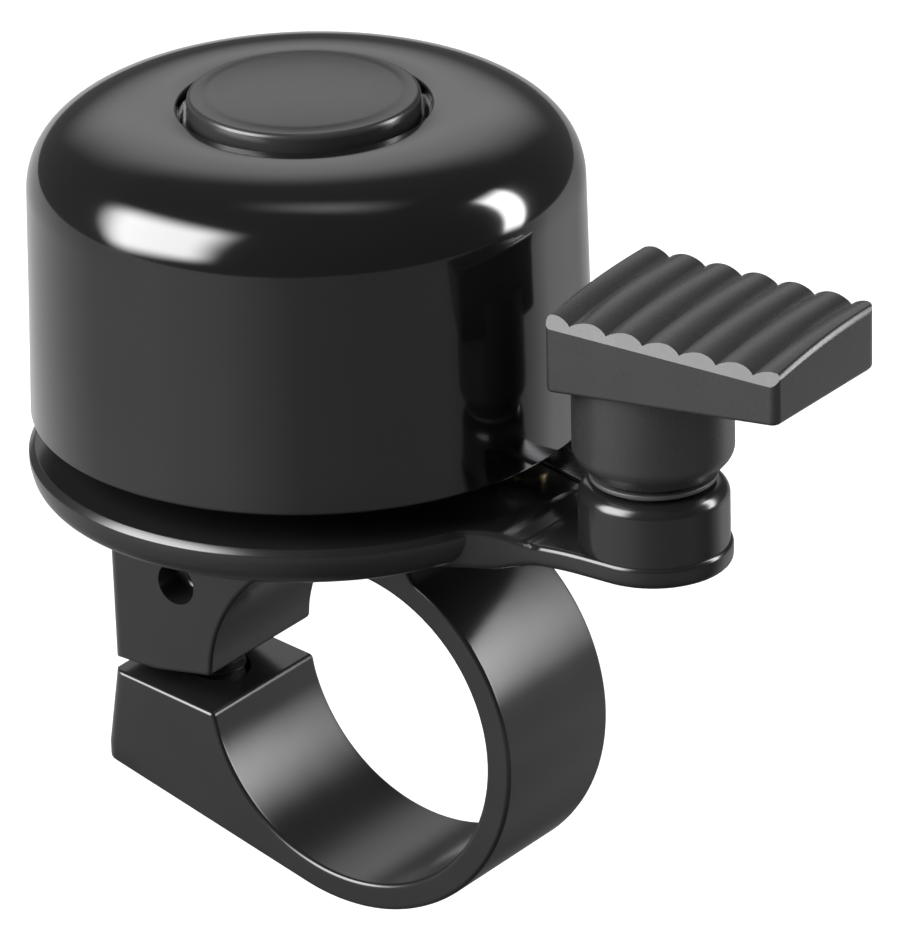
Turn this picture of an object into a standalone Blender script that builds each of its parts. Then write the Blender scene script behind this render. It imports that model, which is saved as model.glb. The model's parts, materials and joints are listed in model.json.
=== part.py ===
"""Thumb-lever bicycle bell, modelled as the separate pieces it comes apart into.

Units are metres and +Z is up. The origin is the centre of the handlebar bore, +Y runs
along the handlebar and +X points from the dome towards the thumb lever.
"""
import math

import bmesh
import bpy
from mathutils import Matrix, Vector

MM = 0.001
GAP = 0.3 * MM                        # clearance between two pieces that rest on each other

# Handlebar clamp
BAR_RADIUS = 11.1 * MM                # 22.2 mm handlebar
STRAP_RADIUS = 12.92 * MM             # outside of the strap
STRAP_HALF_WIDTH = 5.56 * MM
LUG_TOP_X = -19.6 * MM                # outer end of the lugs where they meet the plate,
LUG_SPLIT_X = -19.3 * MM              # at the split
LUG_FOOT_X = -20.15 * MM              # and at the lower lug's rounded foot
LUG_SLOPE_DEG = 16.7                  # the lower lug's underside runs tangent to the strap
LUG_CORNER = 1.3 * MM

# Base plate and its ear
DOME_X = -6.14 * MM                   # axis of the dome and of the base plate
PLATE_RADIUS = 18.5 * MM
PLATE_TOP = 17.25 * MM
PLATE_BOTTOM = 14.5 * MM
PLATE_FOOT_RADIUS = 16.9 * MM
EAR_HALF_WIDTH = 5.03 * MM
EAR_ROOT_X = 9.0 * MM                 # the neck's hidden root inside the plate
EAR_ROOT_HALF_WIDTH = 8.2 * MM
EAR_FLARE_X = 18.3 * MM               # where the neck starts to widen
EAR_TOP = 16.6 * MM
EAR_BOTTOM = 15.1 * MM
EAR_RAMP = (11.8 * MM, 15.2 * MM)     # the ear steps down from the plate between these X

# Lever boss
LEVER_X = 20.64 * MM                  # axis of the lever's post
BOSS_RADIUS = 4.84 * MM
BOSS_TOP = 20.6 * MM
BOSS_ROUND = 0.95 * MM
CAVITY_RADIUS = 3.8 * MM              # room for the striker hub inside the boss
CAVITY_FLOOR = 17.0 * MM
CAVITY_ROOF = 19.3 * MM
WINDOW_ANGLES = (139.0, 218.0)        # sector that the striker arm sweeps through

# Centre post
POST_TOP = 34.9 * MM
POST_FOOT_RADIUS = 3.8 * MM
POST_TOP_RADIUS = 3.2 * MM
POST_HOLE_FLOOR = 24.0 * MM

# Dome
DOME_RIM_Z = 19.6 * MM
DOME_RIM_RADIUS = 18.25 * MM
DOME_WALL_TOP_Z = 34.7 * MM
DOME_WALL_TOP_RADIUS = 17.94 * MM
DOME_SHOULDER = (8.4 * MM, 5.6 * MM)  # how far the shoulder runs inwards and upwards
DOME_SHOULDER_POWER = 2.3             # superellipse: 2 is round, more is squarer
DOME_LIP = (8.2 * MM, 40.2 * MM)      # radius and height of the lip around the cap
DOME_RECESS_FLOOR = 38.2 * MM
DOME_THICKNESS = 1.0 * MM

# Top cap and its fixing
CAP_RADIUS = 7.5 * MM
CAP_BOTTOM = 39.2 * MM
CAP_EDGE_Z = 41.07 * MM
CAP_CROWN_Z = 41.45 * MM
SCREW_M3_RADIUS = 1.5 * MM

# Clamp screw
CLAMP_X = -14.8 * MM
SCREW_M4_RADIUS = 2.0 * MM
CLAMP_SEAT_Z = -5.0 * MM              # flat seat at the top of the counterbore
COUNTERBORE_RADIUS = 3.4 * MM
NUT_WIDTH = 6.6 * MM
NUT_BOTTOM = 14.5 * MM
NUT_THICKNESS = 2.4 * MM

# Thumb lever
BARREL_RADIUS = 5.16 * MM
BARREL_FOOT_RADIUS = 4.15 * MM
BARREL_BOTTOM = 21.5 * MM
BARREL_FLARE_Z = 22.7 * MM
SPRING_ROOM_RADIUS = 3.5 * MM
SPRING_ROOM_TOP = 26.4 * MM
SPIGOT_RADIUS = 2.2 * MM
SPIGOT_SQUARE = 3.0 * MM              # across flats, where the striker is keyed on
SPIGOT_SQUARE_TOP = 19.25 * MM
SPIGOT_BOTTOM = 17.25 * MM
SCREW_M16_RADIUS = 0.8 * MM
PAD_X = (16.3 * MM, 33.8 * MM)
PAD_HALF_WIDTH = 5.7 * MM
PAD_BOTTOM = (27.6 * MM, 29.4 * MM)   # underside height at the two ends
PAD_EDGE_Z = 32.0 * MM                # lower edge of the top bevel
PAD_BEVEL = 0.75 * MM
PAD_CREST_FRONT = 32.6 * MM           # the ribs' crest at the -Y side of the pad
PAD_CREST_BACK = 33.65 * MM           # and at its +Y side
PAD_CREST_SWELL = 0.28 * MM           # how far the crest bows up between them
RIB_PITCH = 2.75 * MM
RIB_DEPTH = 0.55 * MM
RIB_FIRST_VALLEY = 18.1 * MM
RIB_VALLEYS = 6

# Striker
STRIKER_REACH = 13.0 * MM             # from the lever's axis to the striker head's
STRIKER_REST_DEG = 17.0               # the arm's angle from -X towards +Y at rest
STRIKER_HEAD_RADIUS = 2.0 * MM
ARM_BOTTOM = 18.4 * MM
ARM_THICKNESS = 0.4 * MM
ARM_HALF_WIDTH = 1.2 * MM
HUB_RADIUS = 3.3 * MM
RIVET_RADIUS = 0.6 * MM

FINE, COARSE, SMALL = 64, 32, 24      # segments around large, medium and small turned pieces


# ---------------------------------------------------------------- scene and finish helpers

def clear_scene():
    for obj in list(bpy.data.objects):
        bpy.data.objects.remove(obj, do_unlink=True)


def material(name, colour, roughness, metallic=0.0):
    mat = bpy.data.materials.new(name)
    mat.use_nodes = True
    shader = mat.node_tree.nodes["Principled BSDF"]
    shader.inputs["Base Color"].default_value = (*colour, 1.0)
    shader.inputs["Roughness"].default_value = roughness
    shader.inputs["Metallic"].default_value = metallic
    return mat


def add_object(name, bm, mat=None):
    """Turn a bmesh into a linked object, with smooth round faces and sharp edges."""
    bmesh.ops.recalc_face_normals(bm, faces=bm.faces)
    mesh = bpy.data.meshes.new(name)
    bm.to_mesh(mesh)
    bm.free()
    mesh.shade_smooth()
    mesh.set_sharp_from_angle(angle=math.radians(35))
    obj = bpy.data.objects.new(name, mesh)
    bpy.context.scene.collection.objects.link(obj)
    if mat:
        mesh.materials.append(mat)
    return obj


def apply_tools(target, tools, operation):
    """Add or cut helper shapes in one boolean; the helpers aren't part of the bell."""
    group = bpy.data.collections.new(f"{target.name}_{operation.lower()}")
    for tool in tools:
        tool.hide_render = True
        tool.display_type = "WIRE"
        group.objects.link(tool)
    boolean = target.modifiers.new(group.name, "BOOLEAN")
    boolean.operation = operation
    boolean.operand_type = "COLLECTION"
    boolean.collection = group


def join(target, *tools):
    apply_tools(target, tools, "UNION")


def cut(target, *tools):
    apply_tools(target, tools, "DIFFERENCE")


# ---------------------------------------------------------------- shape helpers

def turned(name, profile, x=0.0, y=0.0, steps=SMALL, mat=None):
    """Spin a closed (radius, height) outline about the vertical axis at x, y."""
    bm = bmesh.new()
    verts = [bm.verts.new((r, 0.0, z)) for r, z in profile]
    edges = [bm.edges.new((a, b)) for a, b in zip(verts, verts[1:] + verts[:1])
             if a.co.x > 0.0 or b.co.x > 0.0]
    bmesh.ops.spin(bm, geom=verts + edges, cent=(0, 0, 0), axis=(0, 0, 1),
                   angle=math.tau, steps=steps)
    bmesh.ops.remove_doubles(bm, verts=bm.verts, dist=1e-7)
    bmesh.ops.translate(bm, verts=bm.verts, vec=(x, y, 0.0))
    return add_object(name, bm, mat)


def cylinder(name, radius, low, high, x=0.0, y=0.0, steps=SMALL, mat=None):
    profile = [(0.0, low), (radius, low), (radius, high), (0.0, high)]
    return turned(name, profile, x, y, steps, mat)


def ring(name, inner, outer, low, high, x=0.0, y=0.0, steps=SMALL, mat=None):
    profile = [(inner, low), (outer, low), (outer, high), (inner, high)]
    return turned(name, profile, x, y, steps, mat)


def prism(name, outline, low, high, mat=None, upright=True):
    """Extrude an outline along +Z, or, when not upright, an (x, z) outline along +Y."""
    bm = bmesh.new()
    if upright:
        verts = [bm.verts.new((a, b, low)) for a, b in outline]
        shift = Vector((0.0, 0.0, high - low))
    else:
        verts = [bm.verts.new((a, low, b)) for a, b in outline]
        shift = Vector((0.0, high - low, 0.0))
    face = bm.faces.new(verts)
    grown = bmesh.ops.extrude_face_region(bm, geom=[face])
    moved = [g for g in grown["geom"] if isinstance(g, bmesh.types.BMVert)]
    bmesh.ops.translate(bm, verts=moved, vec=shift)
    return add_object(name, bm, mat)


def box(name, low, high, mat=None):
    outline = [(low[0], low[1]), (high[0], low[1]), (high[0], high[1]), (low[0], high[1])]
    return prism(name, outline, low[2], high[2], mat)


def arc(centre, radius, start_deg, end_deg, steps):
    """Points on a circle, both ends included."""
    angles = [math.radians(start_deg + (end_deg - start_deg) * i / steps)
              for i in range(steps + 1)]
    return [(centre[0] + radius * math.cos(a), centre[1] + radius * math.sin(a))
            for a in angles]


def loft(name, sections, mat=None):
    """Skin a row of closed sections that have the same number of points."""
    bm = bmesh.new()
    rings = [[bm.verts.new(p) for p in section] for section in sections]
    for one, two in zip(rings, rings[1:]):
        for i in range(len(one)):
            j = (i + 1) % len(one)
            bm.faces.new((one[i], one[j], two[j], two[i]))
    bm.faces.new(rings[0])
    bm.faces.new(rings[-1])
    return add_object(name, bm, mat)


def rounded_edge(radius, top, size, steps=4):
    """A convex quarter round that ends a cylinder of this radius at this height."""
    return arc((radius - size, top - size), size, 0, 90, steps)


# ---------------------------------------------------------------- base casting

def plate_profile():
    bevel = 0.4 * MM
    foot_round = arc((PLATE_FOOT_RADIUS - 0.2 * MM, 16.2 * MM), 1.7 * MM, -75, -8, 5)
    return ([(0.0, PLATE_BOTTOM), (15.6 * MM, PLATE_BOTTOM)] + foot_round
            + [(PLATE_RADIUS, 16.5 * MM), (PLATE_RADIUS, PLATE_TOP - bevel),
               (PLATE_RADIUS - bevel, PLATE_TOP), (0.0, PLATE_TOP)])


def ear_half_width(x):
    """The neck widens smoothly from the round end towards the plate."""
    reach = max(EAR_FLARE_X - x, 0.0) / (EAR_FLARE_X - EAR_ROOT_X)
    return EAR_HALF_WIDTH + (EAR_ROOT_HALF_WIDTH - EAR_HALF_WIDTH) * reach ** 2


def ear_solid():
    """Neck and round end that carry the lever boss, dropping a little from the plate."""
    steps = 8
    xs = [EAR_ROOT_X + (EAR_FLARE_X - EAR_ROOT_X) * i / steps for i in range(steps + 1)]
    half = [(x, ear_half_width(x)) for x in xs] + arc((LEVER_X, 0.0), EAR_HALF_WIDTH, 90, 0, 12)
    outline = half + [(x, -y) for x, y in half[-2::-1]]
    bm = bmesh.new()
    face = bm.faces.new([bm.verts.new((x, y, PLATE_BOTTOM)) for x, y in outline])
    grown = bmesh.ops.extrude_face_region(bm, geom=[face])
    moved = [g for g in grown["geom"] if isinstance(g, bmesh.types.BMVert)]
    bmesh.ops.translate(bm, verts=moved, vec=(0, 0, PLATE_TOP - PLATE_BOTTOM))
    for x in EAR_RAMP:
        bmesh.ops.bisect_plane(bm, geom=bm.verts[:] + bm.edges[:] + bm.faces[:],
                               plane_co=(x, 0, 0), plane_no=(1, 0, 0), dist=1e-7)
    middle = 0.5 * (PLATE_TOP + PLATE_BOTTOM)
    for vert in bm.verts:
        along = (vert.co.x - EAR_RAMP[0]) / (EAR_RAMP[1] - EAR_RAMP[0])
        along = min(max(along, 0.0), 1.0)
        if vert.co.z > middle:
            vert.co.z += along * (EAR_TOP - PLATE_TOP)
        else:
            vert.co.z += along * (EAR_BOTTOM - PLATE_BOTTOM)
    return add_object("ear", bm)


def clamp_solid():
    """Strap, saddle and both lugs as one outline, before the bore and the split."""
    slope = math.radians(LUG_SLOPE_DEG)
    tangent_deg = 270.0 - LUG_SLOPE_DEG
    tangent_x, tangent_z = arc((0.0, 0.0), STRAP_RADIUS, tangent_deg, tangent_deg, 1)[0]
    foot_x = LUG_FOOT_X + LUG_CORNER
    foot_z = tangent_z + (tangent_x - foot_x) * math.tan(slope) + LUG_CORNER / math.cos(slope)
    top = PLATE_BOTTOM + 1.0 * MM
    saddle_deg = 424.0
    saddle_x = STRAP_RADIUS * math.cos(math.radians(saddle_deg)) - 0.9 * MM
    outline = [(LUG_TOP_X, top), (LUG_SPLIT_X, 0.0)]
    outline += arc((foot_x, foot_z), LUG_CORNER, 188, tangent_deg, 4)
    outline += arc((0.0, 0.0), STRAP_RADIUS, tangent_deg, saddle_deg, 42)
    outline += [(saddle_x + 0.2 * MM, 12.6 * MM), (saddle_x, 13.4 * MM), (saddle_x, top)]
    body = prism("clamp", outline, -STRAP_HALF_WIDTH, STRAP_HALF_WIDTH, upright=False)
    bm = bmesh.new()
    bm.from_mesh(body.data)
    ends = [e for e in bm.edges
            if all(v.co.x < LUG_SPLIT_X + 0.1 * MM for v in e.verts)
            and abs(e.verts[0].co.y - e.verts[1].co.y) < 1e-6]
    bmesh.ops.bevel(bm, geom=ends, offset=1.0 * MM, segments=3, profile=0.5,
                    affect="EDGES", clamp_overlap=True)
    bmesh.ops.recalc_face_normals(bm, faces=bm.faces)
    bm.to_mesh(body.data)
    bm.free()
    return body


def bar_bore():
    outline = arc((0.0, 0.0), BAR_RADIUS, 0, 360 - 360 / 64, 63)
    return prism("bar_bore", outline, -8 * MM, 8 * MM, upright=False)


def clamp_split():
    """The gap between the lugs, wider towards the handlebar than at the outer end."""
    outline = [(-22.0, 0.2), (-17.5, 0.0), (-15.6, -0.05), (-12.0, 0.45), (-10.0, 0.8),
               (-10.0, -2.15), (-17.8, -1.0), (-22.0, -0.5)]
    return prism("clamp_split", [(x * MM, z * MM) for x, z in outline],
                 -7 * MM, 7 * MM, upright=False)


def window_solid():
    """Wedge that opens the boss towards the dome for the striker arm."""
    reach = 8.0 * MM
    sector = arc((LEVER_X, 0.0), reach, WINDOW_ANGLES[0], WINDOW_ANGLES[1], 8)
    return prism("window", [(LEVER_X, 0.0)] + sector, CAVITY_FLOOR, CAVITY_ROOF)


def base_casting(mat):
    casting = turned("base_casting", plate_profile(), DOME_X, steps=FINE, mat=mat)
    boss = turned("boss", [(0.0, EAR_BOTTOM + 0.2 * MM), (BOSS_RADIUS, EAR_BOTTOM + 0.2 * MM)]
                  + rounded_edge(BOSS_RADIUS, BOSS_TOP, BOSS_ROUND) + [(0.0, BOSS_TOP)],
                  LEVER_X, steps=COARSE)
    post = turned("post", [(0.0, 16 * MM), (POST_FOOT_RADIUS, 16 * MM),
                           (POST_TOP_RADIUS, POST_TOP), (0.0, POST_TOP)], DOME_X)
    join(casting, ear_solid(), boss, post, clamp_solid())
    nut_half = NUT_WIDTH / 2 + GAP
    pocket = box("nut_pocket", (CLAMP_X - nut_half, -nut_half, NUT_BOTTOM - GAP),
                 (CLAMP_X + nut_half, nut_half, PLATE_TOP + 1 * MM))
    core = prism("lug_core", arc((-13.6 * MM, 6.7 * MM), 1.5 * MM, 0, 345, 23),
                 -7 * MM, -STRAP_HALF_WIDTH + 2.4 * MM, upright=False)
    cut(casting,
        bar_bore(),
        clamp_split(),
        cylinder("clamp_hole", SCREW_M4_RADIUS + GAP, -14 * MM, 16 * MM, CLAMP_X),
        cylinder("counterbore", COUNTERBORE_RADIUS, -14 * MM, CLAMP_SEAT_Z, CLAMP_X),
        pocket,
        core,
        cylinder("cavity", CAVITY_RADIUS, CAVITY_FLOOR, CAVITY_ROOF, LEVER_X),
        window_solid(),
        cylinder("bush_seat", 3.5 * MM, CAVITY_ROOF - 0.1 * MM, BOSS_TOP + 1 * MM, LEVER_X),
        cylinder("pivot_hole", SCREW_M16_RADIUS + GAP, 14 * MM, CAVITY_FLOOR + 0.1 * MM, LEVER_X),
        cylinder("pivot_recess", 2.8 * MM, 14 * MM, 15.8 * MM, LEVER_X),
        cylinder("post_hole", SCREW_M3_RADIUS + GAP, POST_HOLE_FLOOR, POST_TOP + 1 * MM, DOME_X))
    return casting


# ---------------------------------------------------------------- dome and its fixing

def dome_outer():
    """Outside of the dome from rim to lip as (radius, height)."""
    inward, upward = DOME_SHOULDER
    points = [(DOME_RIM_RADIUS, DOME_RIM_Z), (18.08 * MM, 27 * MM)]
    steps = 8
    for i in range(steps + 1):
        turn = math.radians(90 * i / steps)
        r = DOME_WALL_TOP_RADIUS - inward + inward * math.cos(turn) ** (2 / DOME_SHOULDER_POWER)
        z = DOME_WALL_TOP_Z + upward * math.sin(turn) ** (2 / DOME_SHOULDER_POWER)
        points.append((r, z))
    return points + [DOME_LIP]


def dome_inner():
    """Inside of the dome from crown to rim, one wall thickness in from the outside."""
    inward, upward = DOME_SHOULDER
    wall = DOME_THICKNESS
    points = []
    steps = 6
    for i in range(steps + 1):
        turn = math.radians(90 - 90 * i / steps)
        power = 2 / DOME_SHOULDER_POWER
        r = DOME_WALL_TOP_RADIUS - inward + (inward - wall) * math.cos(turn) ** power
        z = DOME_WALL_TOP_Z + (upward - wall) * math.sin(turn) ** power
        points.append((r, z))
    return points + [(DOME_RIM_RADIUS - wall, DOME_RIM_Z)]


def dome(mat):
    lip_r = DOME_LIP[0]
    hole = SCREW_M3_RADIUS + GAP
    under = DOME_RECESS_FLOOR - DOME_THICKNESS
    profile = dome_outer()
    profile += [(lip_r - 0.25 * MM, DOME_LIP[1] - 0.2 * MM), (lip_r - 0.35 * MM, DOME_RECESS_FLOOR),
                (hole, DOME_RECESS_FLOOR), (hole, under), (lip_r - 0.2 * MM, under)]
    profile += dome_inner()
    return turned("dome", profile, DOME_X, steps=FINE, mat=mat)


def top_cap(mat):
    """Cap with a hexagonal pocket underneath for its moulded-in screw head."""
    edge = 0.35 * MM
    profile = [(0.0, CAP_BOTTOM), (CAP_RADIUS - 0.2 * MM, CAP_BOTTOM)]
    profile += rounded_edge(CAP_RADIUS, CAP_EDGE_Z, edge, 3)
    profile += [(5.0 * MM, CAP_CROWN_Z - 0.12 * MM), (2.5 * MM, CAP_CROWN_Z - 0.03 * MM),
                (0.0, CAP_CROWN_Z)]
    cap = turned("top_cap", profile, DOME_X, steps=FINE, mat=mat)
    cut(cap, cylinder("cap_pocket", 2.75 * MM + GAP, CAP_BOTTOM - 1 * MM, 40.75 * MM, DOME_X, steps=6))
    return cap


def cap_screw(mat):
    low, high = POST_HOLE_FLOOR + 1 * MM, 40.4 * MM
    head = cylinder("cap_screw", 2.75 * MM, high - 1.1 * MM, high, DOME_X, steps=6, mat=mat)
    shank = turned("cap_shank", [(0.0, low), (SCREW_M3_RADIUS - 0.4 * MM, low),
                                 (SCREW_M3_RADIUS, low + 0.5 * MM),
                                 (SCREW_M3_RADIUS, high - 0.5 * MM), (0.0, high - 0.5 * MM)], DOME_X)
    join(head, shank)
    return head


def dome_fixing(steel, rubber):
    hole = SCREW_M3_RADIUS + GAP
    ring("crown_washer", hole, 5.5 * MM, DOME_RECESS_FLOOR + GAP, CAP_BOTTOM - GAP, DOME_X,
         steps=COARSE, mat=steel)
    low, high = POST_TOP + GAP, DOME_RECESS_FLOOR - DOME_THICKNESS - GAP
    profile = [(hole, low), (4.2 * MM, low), (4.5 * MM, low + 0.3 * MM), (4.5 * MM, high - 0.3 * MM),
               (4.2 * MM, high), (hole, high)]
    turned("dome_seat", profile, DOME_X, steps=COARSE, mat=rubber)


# ---------------------------------------------------------------- clamp fixings

def clamp_fixings(steel, black_steel):
    hole = SCREW_M4_RADIUS + GAP
    washer_top = CLAMP_SEAT_Z - GAP
    washer_bottom = washer_top - 0.4 * MM
    lock_top = washer_bottom - GAP
    lock_bottom = lock_top - 0.5 * MM
    head_top = lock_bottom - GAP
    head_bottom = head_top - 1.8 * MM
    ring("clamp_washer", hole, 3.05 * MM, washer_bottom, washer_top, CLAMP_X, mat=steel)
    lock = ring("clamp_lock_washer", hole, 2.9 * MM, lock_bottom, lock_top, CLAMP_X, mat=steel)
    cut(lock, box("lock_slit", (CLAMP_X + 1 * MM, -0.3 * MM, -8 * MM),
                  (CLAMP_X + 4 * MM, 0.3 * MM, -4 * MM)))
    screw = cylinder("clamp_screw", 3.0 * MM, head_bottom, head_top, CLAMP_X, mat=black_steel)
    tip = NUT_BOTTOM + NUT_THICKNESS
    shank = turned("clamp_shank", [(0.0, head_top - 0.3 * MM), (SCREW_M4_RADIUS, head_top - 0.3 * MM),
                                   (SCREW_M4_RADIUS, tip - 0.5 * MM),
                                   (SCREW_M4_RADIUS - 0.5 * MM, tip), (0.0, tip)], CLAMP_X)
    join(screw, shank)
    cut(screw, cylinder("hex_socket", 1.7 * MM, head_bottom - 1 * MM, head_bottom + 1.2 * MM,
                        CLAMP_X, steps=6))
    half = NUT_WIDTH / 2
    nut = box("clamp_nut", (CLAMP_X - half, -half, NUT_BOTTOM), (CLAMP_X + half, half, tip), steel)
    cut(nut, cylinder("nut_hole", hole, NUT_BOTTOM - 1 * MM, tip + 1 * MM, CLAMP_X))


# ---------------------------------------------------------------- thumb lever

def rib_height(x):
    """0 in a valley and 1 on a rib's crest, as a row of shallow rounded ribs."""
    phase = (x - RIB_FIRST_VALLEY) / RIB_PITCH
    return 1.0 - (2.0 * (phase - math.floor(phase)) - 1.0) ** 2


def crest_height(y):
    """Height of the ribs' crests across the pad, bowed up between its two sides."""
    across = 0.5 + 0.5 * y / PAD_HALF_WIDTH
    bow = 4.0 * across * (1.0 - across)
    return PAD_CREST_FRONT + (PAD_CREST_BACK - PAD_CREST_FRONT) * across + PAD_CREST_SWELL * bow


def pad_section(y, height, depth):
    """One lengthwise section of the pad: crests at this height, valleys this much lower."""
    x_low, x_high = PAD_X
    steps_per_rib = 4
    last_valley = RIB_FIRST_VALLEY + (RIB_VALLEYS - 1) * RIB_PITCH
    ribs = [RIB_FIRST_VALLEY + RIB_PITCH * i / steps_per_rib
            for i in range((RIB_VALLEYS - 1) * steps_per_rib + 1)]
    xs = [x_low + 0.8 * MM] + ribs + [last_valley + 0.7 * MM, x_high - 0.75 * MM]
    top = [(x, y, height - depth + depth * rib_height(x)) for x in xs]
    shoulder = 0.75 * MM
    return ([(x_low, y, height - shoulder)] + top
            + [(x_high, y, height - shoulder), (x_high, y, PAD_BOTTOM[1]), (x_low, y, PAD_BOTTOM[0])])


def pad_solid():
    """Pad with a chamfered front edge and a slightly rounded back edge."""
    front_y = -PAD_HALF_WIDTH + PAD_BEVEL
    back_y = PAD_HALF_WIDTH - 0.3 * MM
    spans = 4
    sections = [pad_section(-PAD_HALF_WIDTH, PAD_EDGE_Z, 0.0)]
    for i in range(spans + 1):
        y = front_y + (back_y - front_y) * i / spans
        sections.append(pad_section(y, crest_height(y), RIB_DEPTH))
    sections.append(pad_section(PAD_HALF_WIDTH, PAD_CREST_BACK - 0.6 * MM, 0.0))
    return loft("pad", sections)


def thumb_lever(mat):
    barrel_top = PAD_EDGE_Z - 2.0 * MM
    profile = [(0.0, SPIGOT_SQUARE_TOP), (SPIGOT_RADIUS, SPIGOT_SQUARE_TOP),
               (SPIGOT_RADIUS, SPRING_ROOM_TOP), (SPRING_ROOM_RADIUS, SPRING_ROOM_TOP),
               (SPRING_ROOM_RADIUS, BARREL_BOTTOM), (BARREL_FOOT_RADIUS, BARREL_BOTTOM),
               (BARREL_RADIUS, BARREL_FLARE_Z), (BARREL_RADIUS, barrel_top), (0.0, barrel_top)]
    lever = turned("thumb_lever", profile, LEVER_X, steps=COARSE, mat=mat)
    half = SPIGOT_SQUARE / 2
    square = box("spigot_square", (LEVER_X - half, -half, SPIGOT_BOTTOM),
                 (LEVER_X + half, half, SPIGOT_SQUARE_TOP + 0.5 * MM))
    join(lever, pad_solid(), square)
    cut(lever, cylinder("spigot_bore", SCREW_M16_RADIUS + GAP, SPIGOT_BOTTOM - 1 * MM,
                        24.5 * MM, LEVER_X))
    return lever


def lever_fixings(steel, bronze, nylon):
    hole = SPIGOT_RADIUS + GAP
    ring("pivot_bush", hole, 3.5 * MM - GAP, CAVITY_ROOF + 0.1 * MM, BOSS_TOP, LEVER_X, mat=bronze)
    ring("thrust_washer", hole, 4.1 * MM, BOSS_TOP + GAP, BARREL_BOTTOM - GAP, LEVER_X,
         steps=COARSE, mat=nylon)
    ring("pivot_washer", SCREW_M16_RADIUS + GAP, 2.4 * MM, 15.2 * MM, 15.5 * MM, LEVER_X, mat=steel)
    head_bottom, head_top = 13.95 * MM, 14.9 * MM
    screw = cylinder("pivot_screw", 2.0 * MM, head_bottom, head_top, LEVER_X, mat=steel)
    join(screw, cylinder("pivot_shank", SCREW_M16_RADIUS, head_top - 0.3 * MM, 24.1 * MM, LEVER_X,
                         steps=16))
    cut(screw, box("pivot_slot", (LEVER_X - 3 * MM, -0.25 * MM, head_bottom - 1 * MM),
                   (LEVER_X + 3 * MM, 0.25 * MM, head_bottom + 0.45 * MM)))


def return_spring(mat):
    """Torsion coil in the lever's barrel, around the spigot."""
    radius, wire, turns, per_turn = 2.85 * MM, 0.27 * MM, 5.5, 14
    low, high = BARREL_BOTTOM + 0.5 * MM, SPRING_ROOM_TOP - 0.6 * MM
    count = int(turns * per_turn)
    curve = bpy.data.curves.new("return_spring", "CURVE")
    curve.dimensions = "3D"
    curve.bevel_depth = wire
    curve.bevel_resolution = 1
    curve.use_fill_caps = True
    spline = curve.splines.new("POLY")
    spline.points.add(count)
    for i, point in enumerate(spline.points):
        turn = math.tau * i / per_turn
        height = low + (high - low) * i / count
        point.co = (LEVER_X + radius * math.cos(turn), radius * math.sin(turn), height, 1.0)
    curve.materials.append(mat)
    obj = bpy.data.objects.new("return_spring", curve)
    bpy.context.scene.collection.objects.link(obj)
    return obj


# ---------------------------------------------------------------- striker

def striker_place(distance):
    """A point on the arm's centre line at rest, as (x, y)."""
    angle = math.radians(STRIKER_REST_DEG)
    return LEVER_X - distance * math.cos(angle), distance * math.sin(angle)


def turn_about_lever(obj):
    """Turn a piece modelled along +X from the lever's axis into its rest direction."""
    turn = Matrix.Rotation(math.radians(180 - STRIKER_REST_DEG), 4, "Z")
    obj.data.transform(Matrix.Translation((LEVER_X, 0.0, 0.0)) @ turn)
    return obj


def striker(steel, spring_steel, black_steel, brass):
    key_half = SPIGOT_SQUARE / 2 + GAP
    key = box("square_key", (LEVER_X - key_half, -key_half, 16 * MM),
              (LEVER_X + key_half, key_half, 20 * MM))
    hub = cylinder("striker_hub", HUB_RADIUS, CAVITY_FLOOR + GAP, ARM_BOTTOM - GAP, LEVER_X,
                   mat=black_steel)
    cut(hub, key)

    head_end = math.degrees(math.asin(ARM_HALF_WIDTH / STRIKER_HEAD_RADIUS))
    root_end = math.degrees(math.asin(ARM_HALF_WIDTH / HUB_RADIUS))
    outline = arc((0.0, 0.0), HUB_RADIUS, root_end, 360 - root_end, 24)
    outline += arc((STRIKER_REACH, 0.0), STRIKER_HEAD_RADIUS, 180 + head_end, 540 - head_end, 16)
    arm = turn_about_lever(prism("striker_arm", outline, ARM_BOTTOM, ARM_BOTTOM + ARM_THICKNESS,
                                 spring_steel))
    x, y = striker_place(STRIKER_REACH)
    cut(arm, key, cylinder("arm_hole", RIVET_RADIUS + GAP, 17 * MM, 20 * MM, x, y, steps=16))

    head_low, head_high = ARM_BOTTOM + ARM_THICKNESS + GAP, 23.6 * MM
    ring("striker_head", RIVET_RADIUS + GAP, STRIKER_HEAD_RADIUS, head_low, head_high, x, y, mat=steel)
    foot_top, cap_low = ARM_BOTTOM - GAP, head_high + GAP
    rivet = [(0.0, foot_top - 0.35 * MM), (1.3 * MM, foot_top - 0.35 * MM), (1.3 * MM, foot_top),
             (RIVET_RADIUS, foot_top), (RIVET_RADIUS, cap_low), (1.1 * MM, cap_low),
             (0.8 * MM, cap_low + 0.4 * MM), (0.0, cap_low + 0.4 * MM)]
    turned("striker_rivet", rivet, x, y, steps=16, mat=brass)


# ---------------------------------------------------------------- assembly

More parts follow.
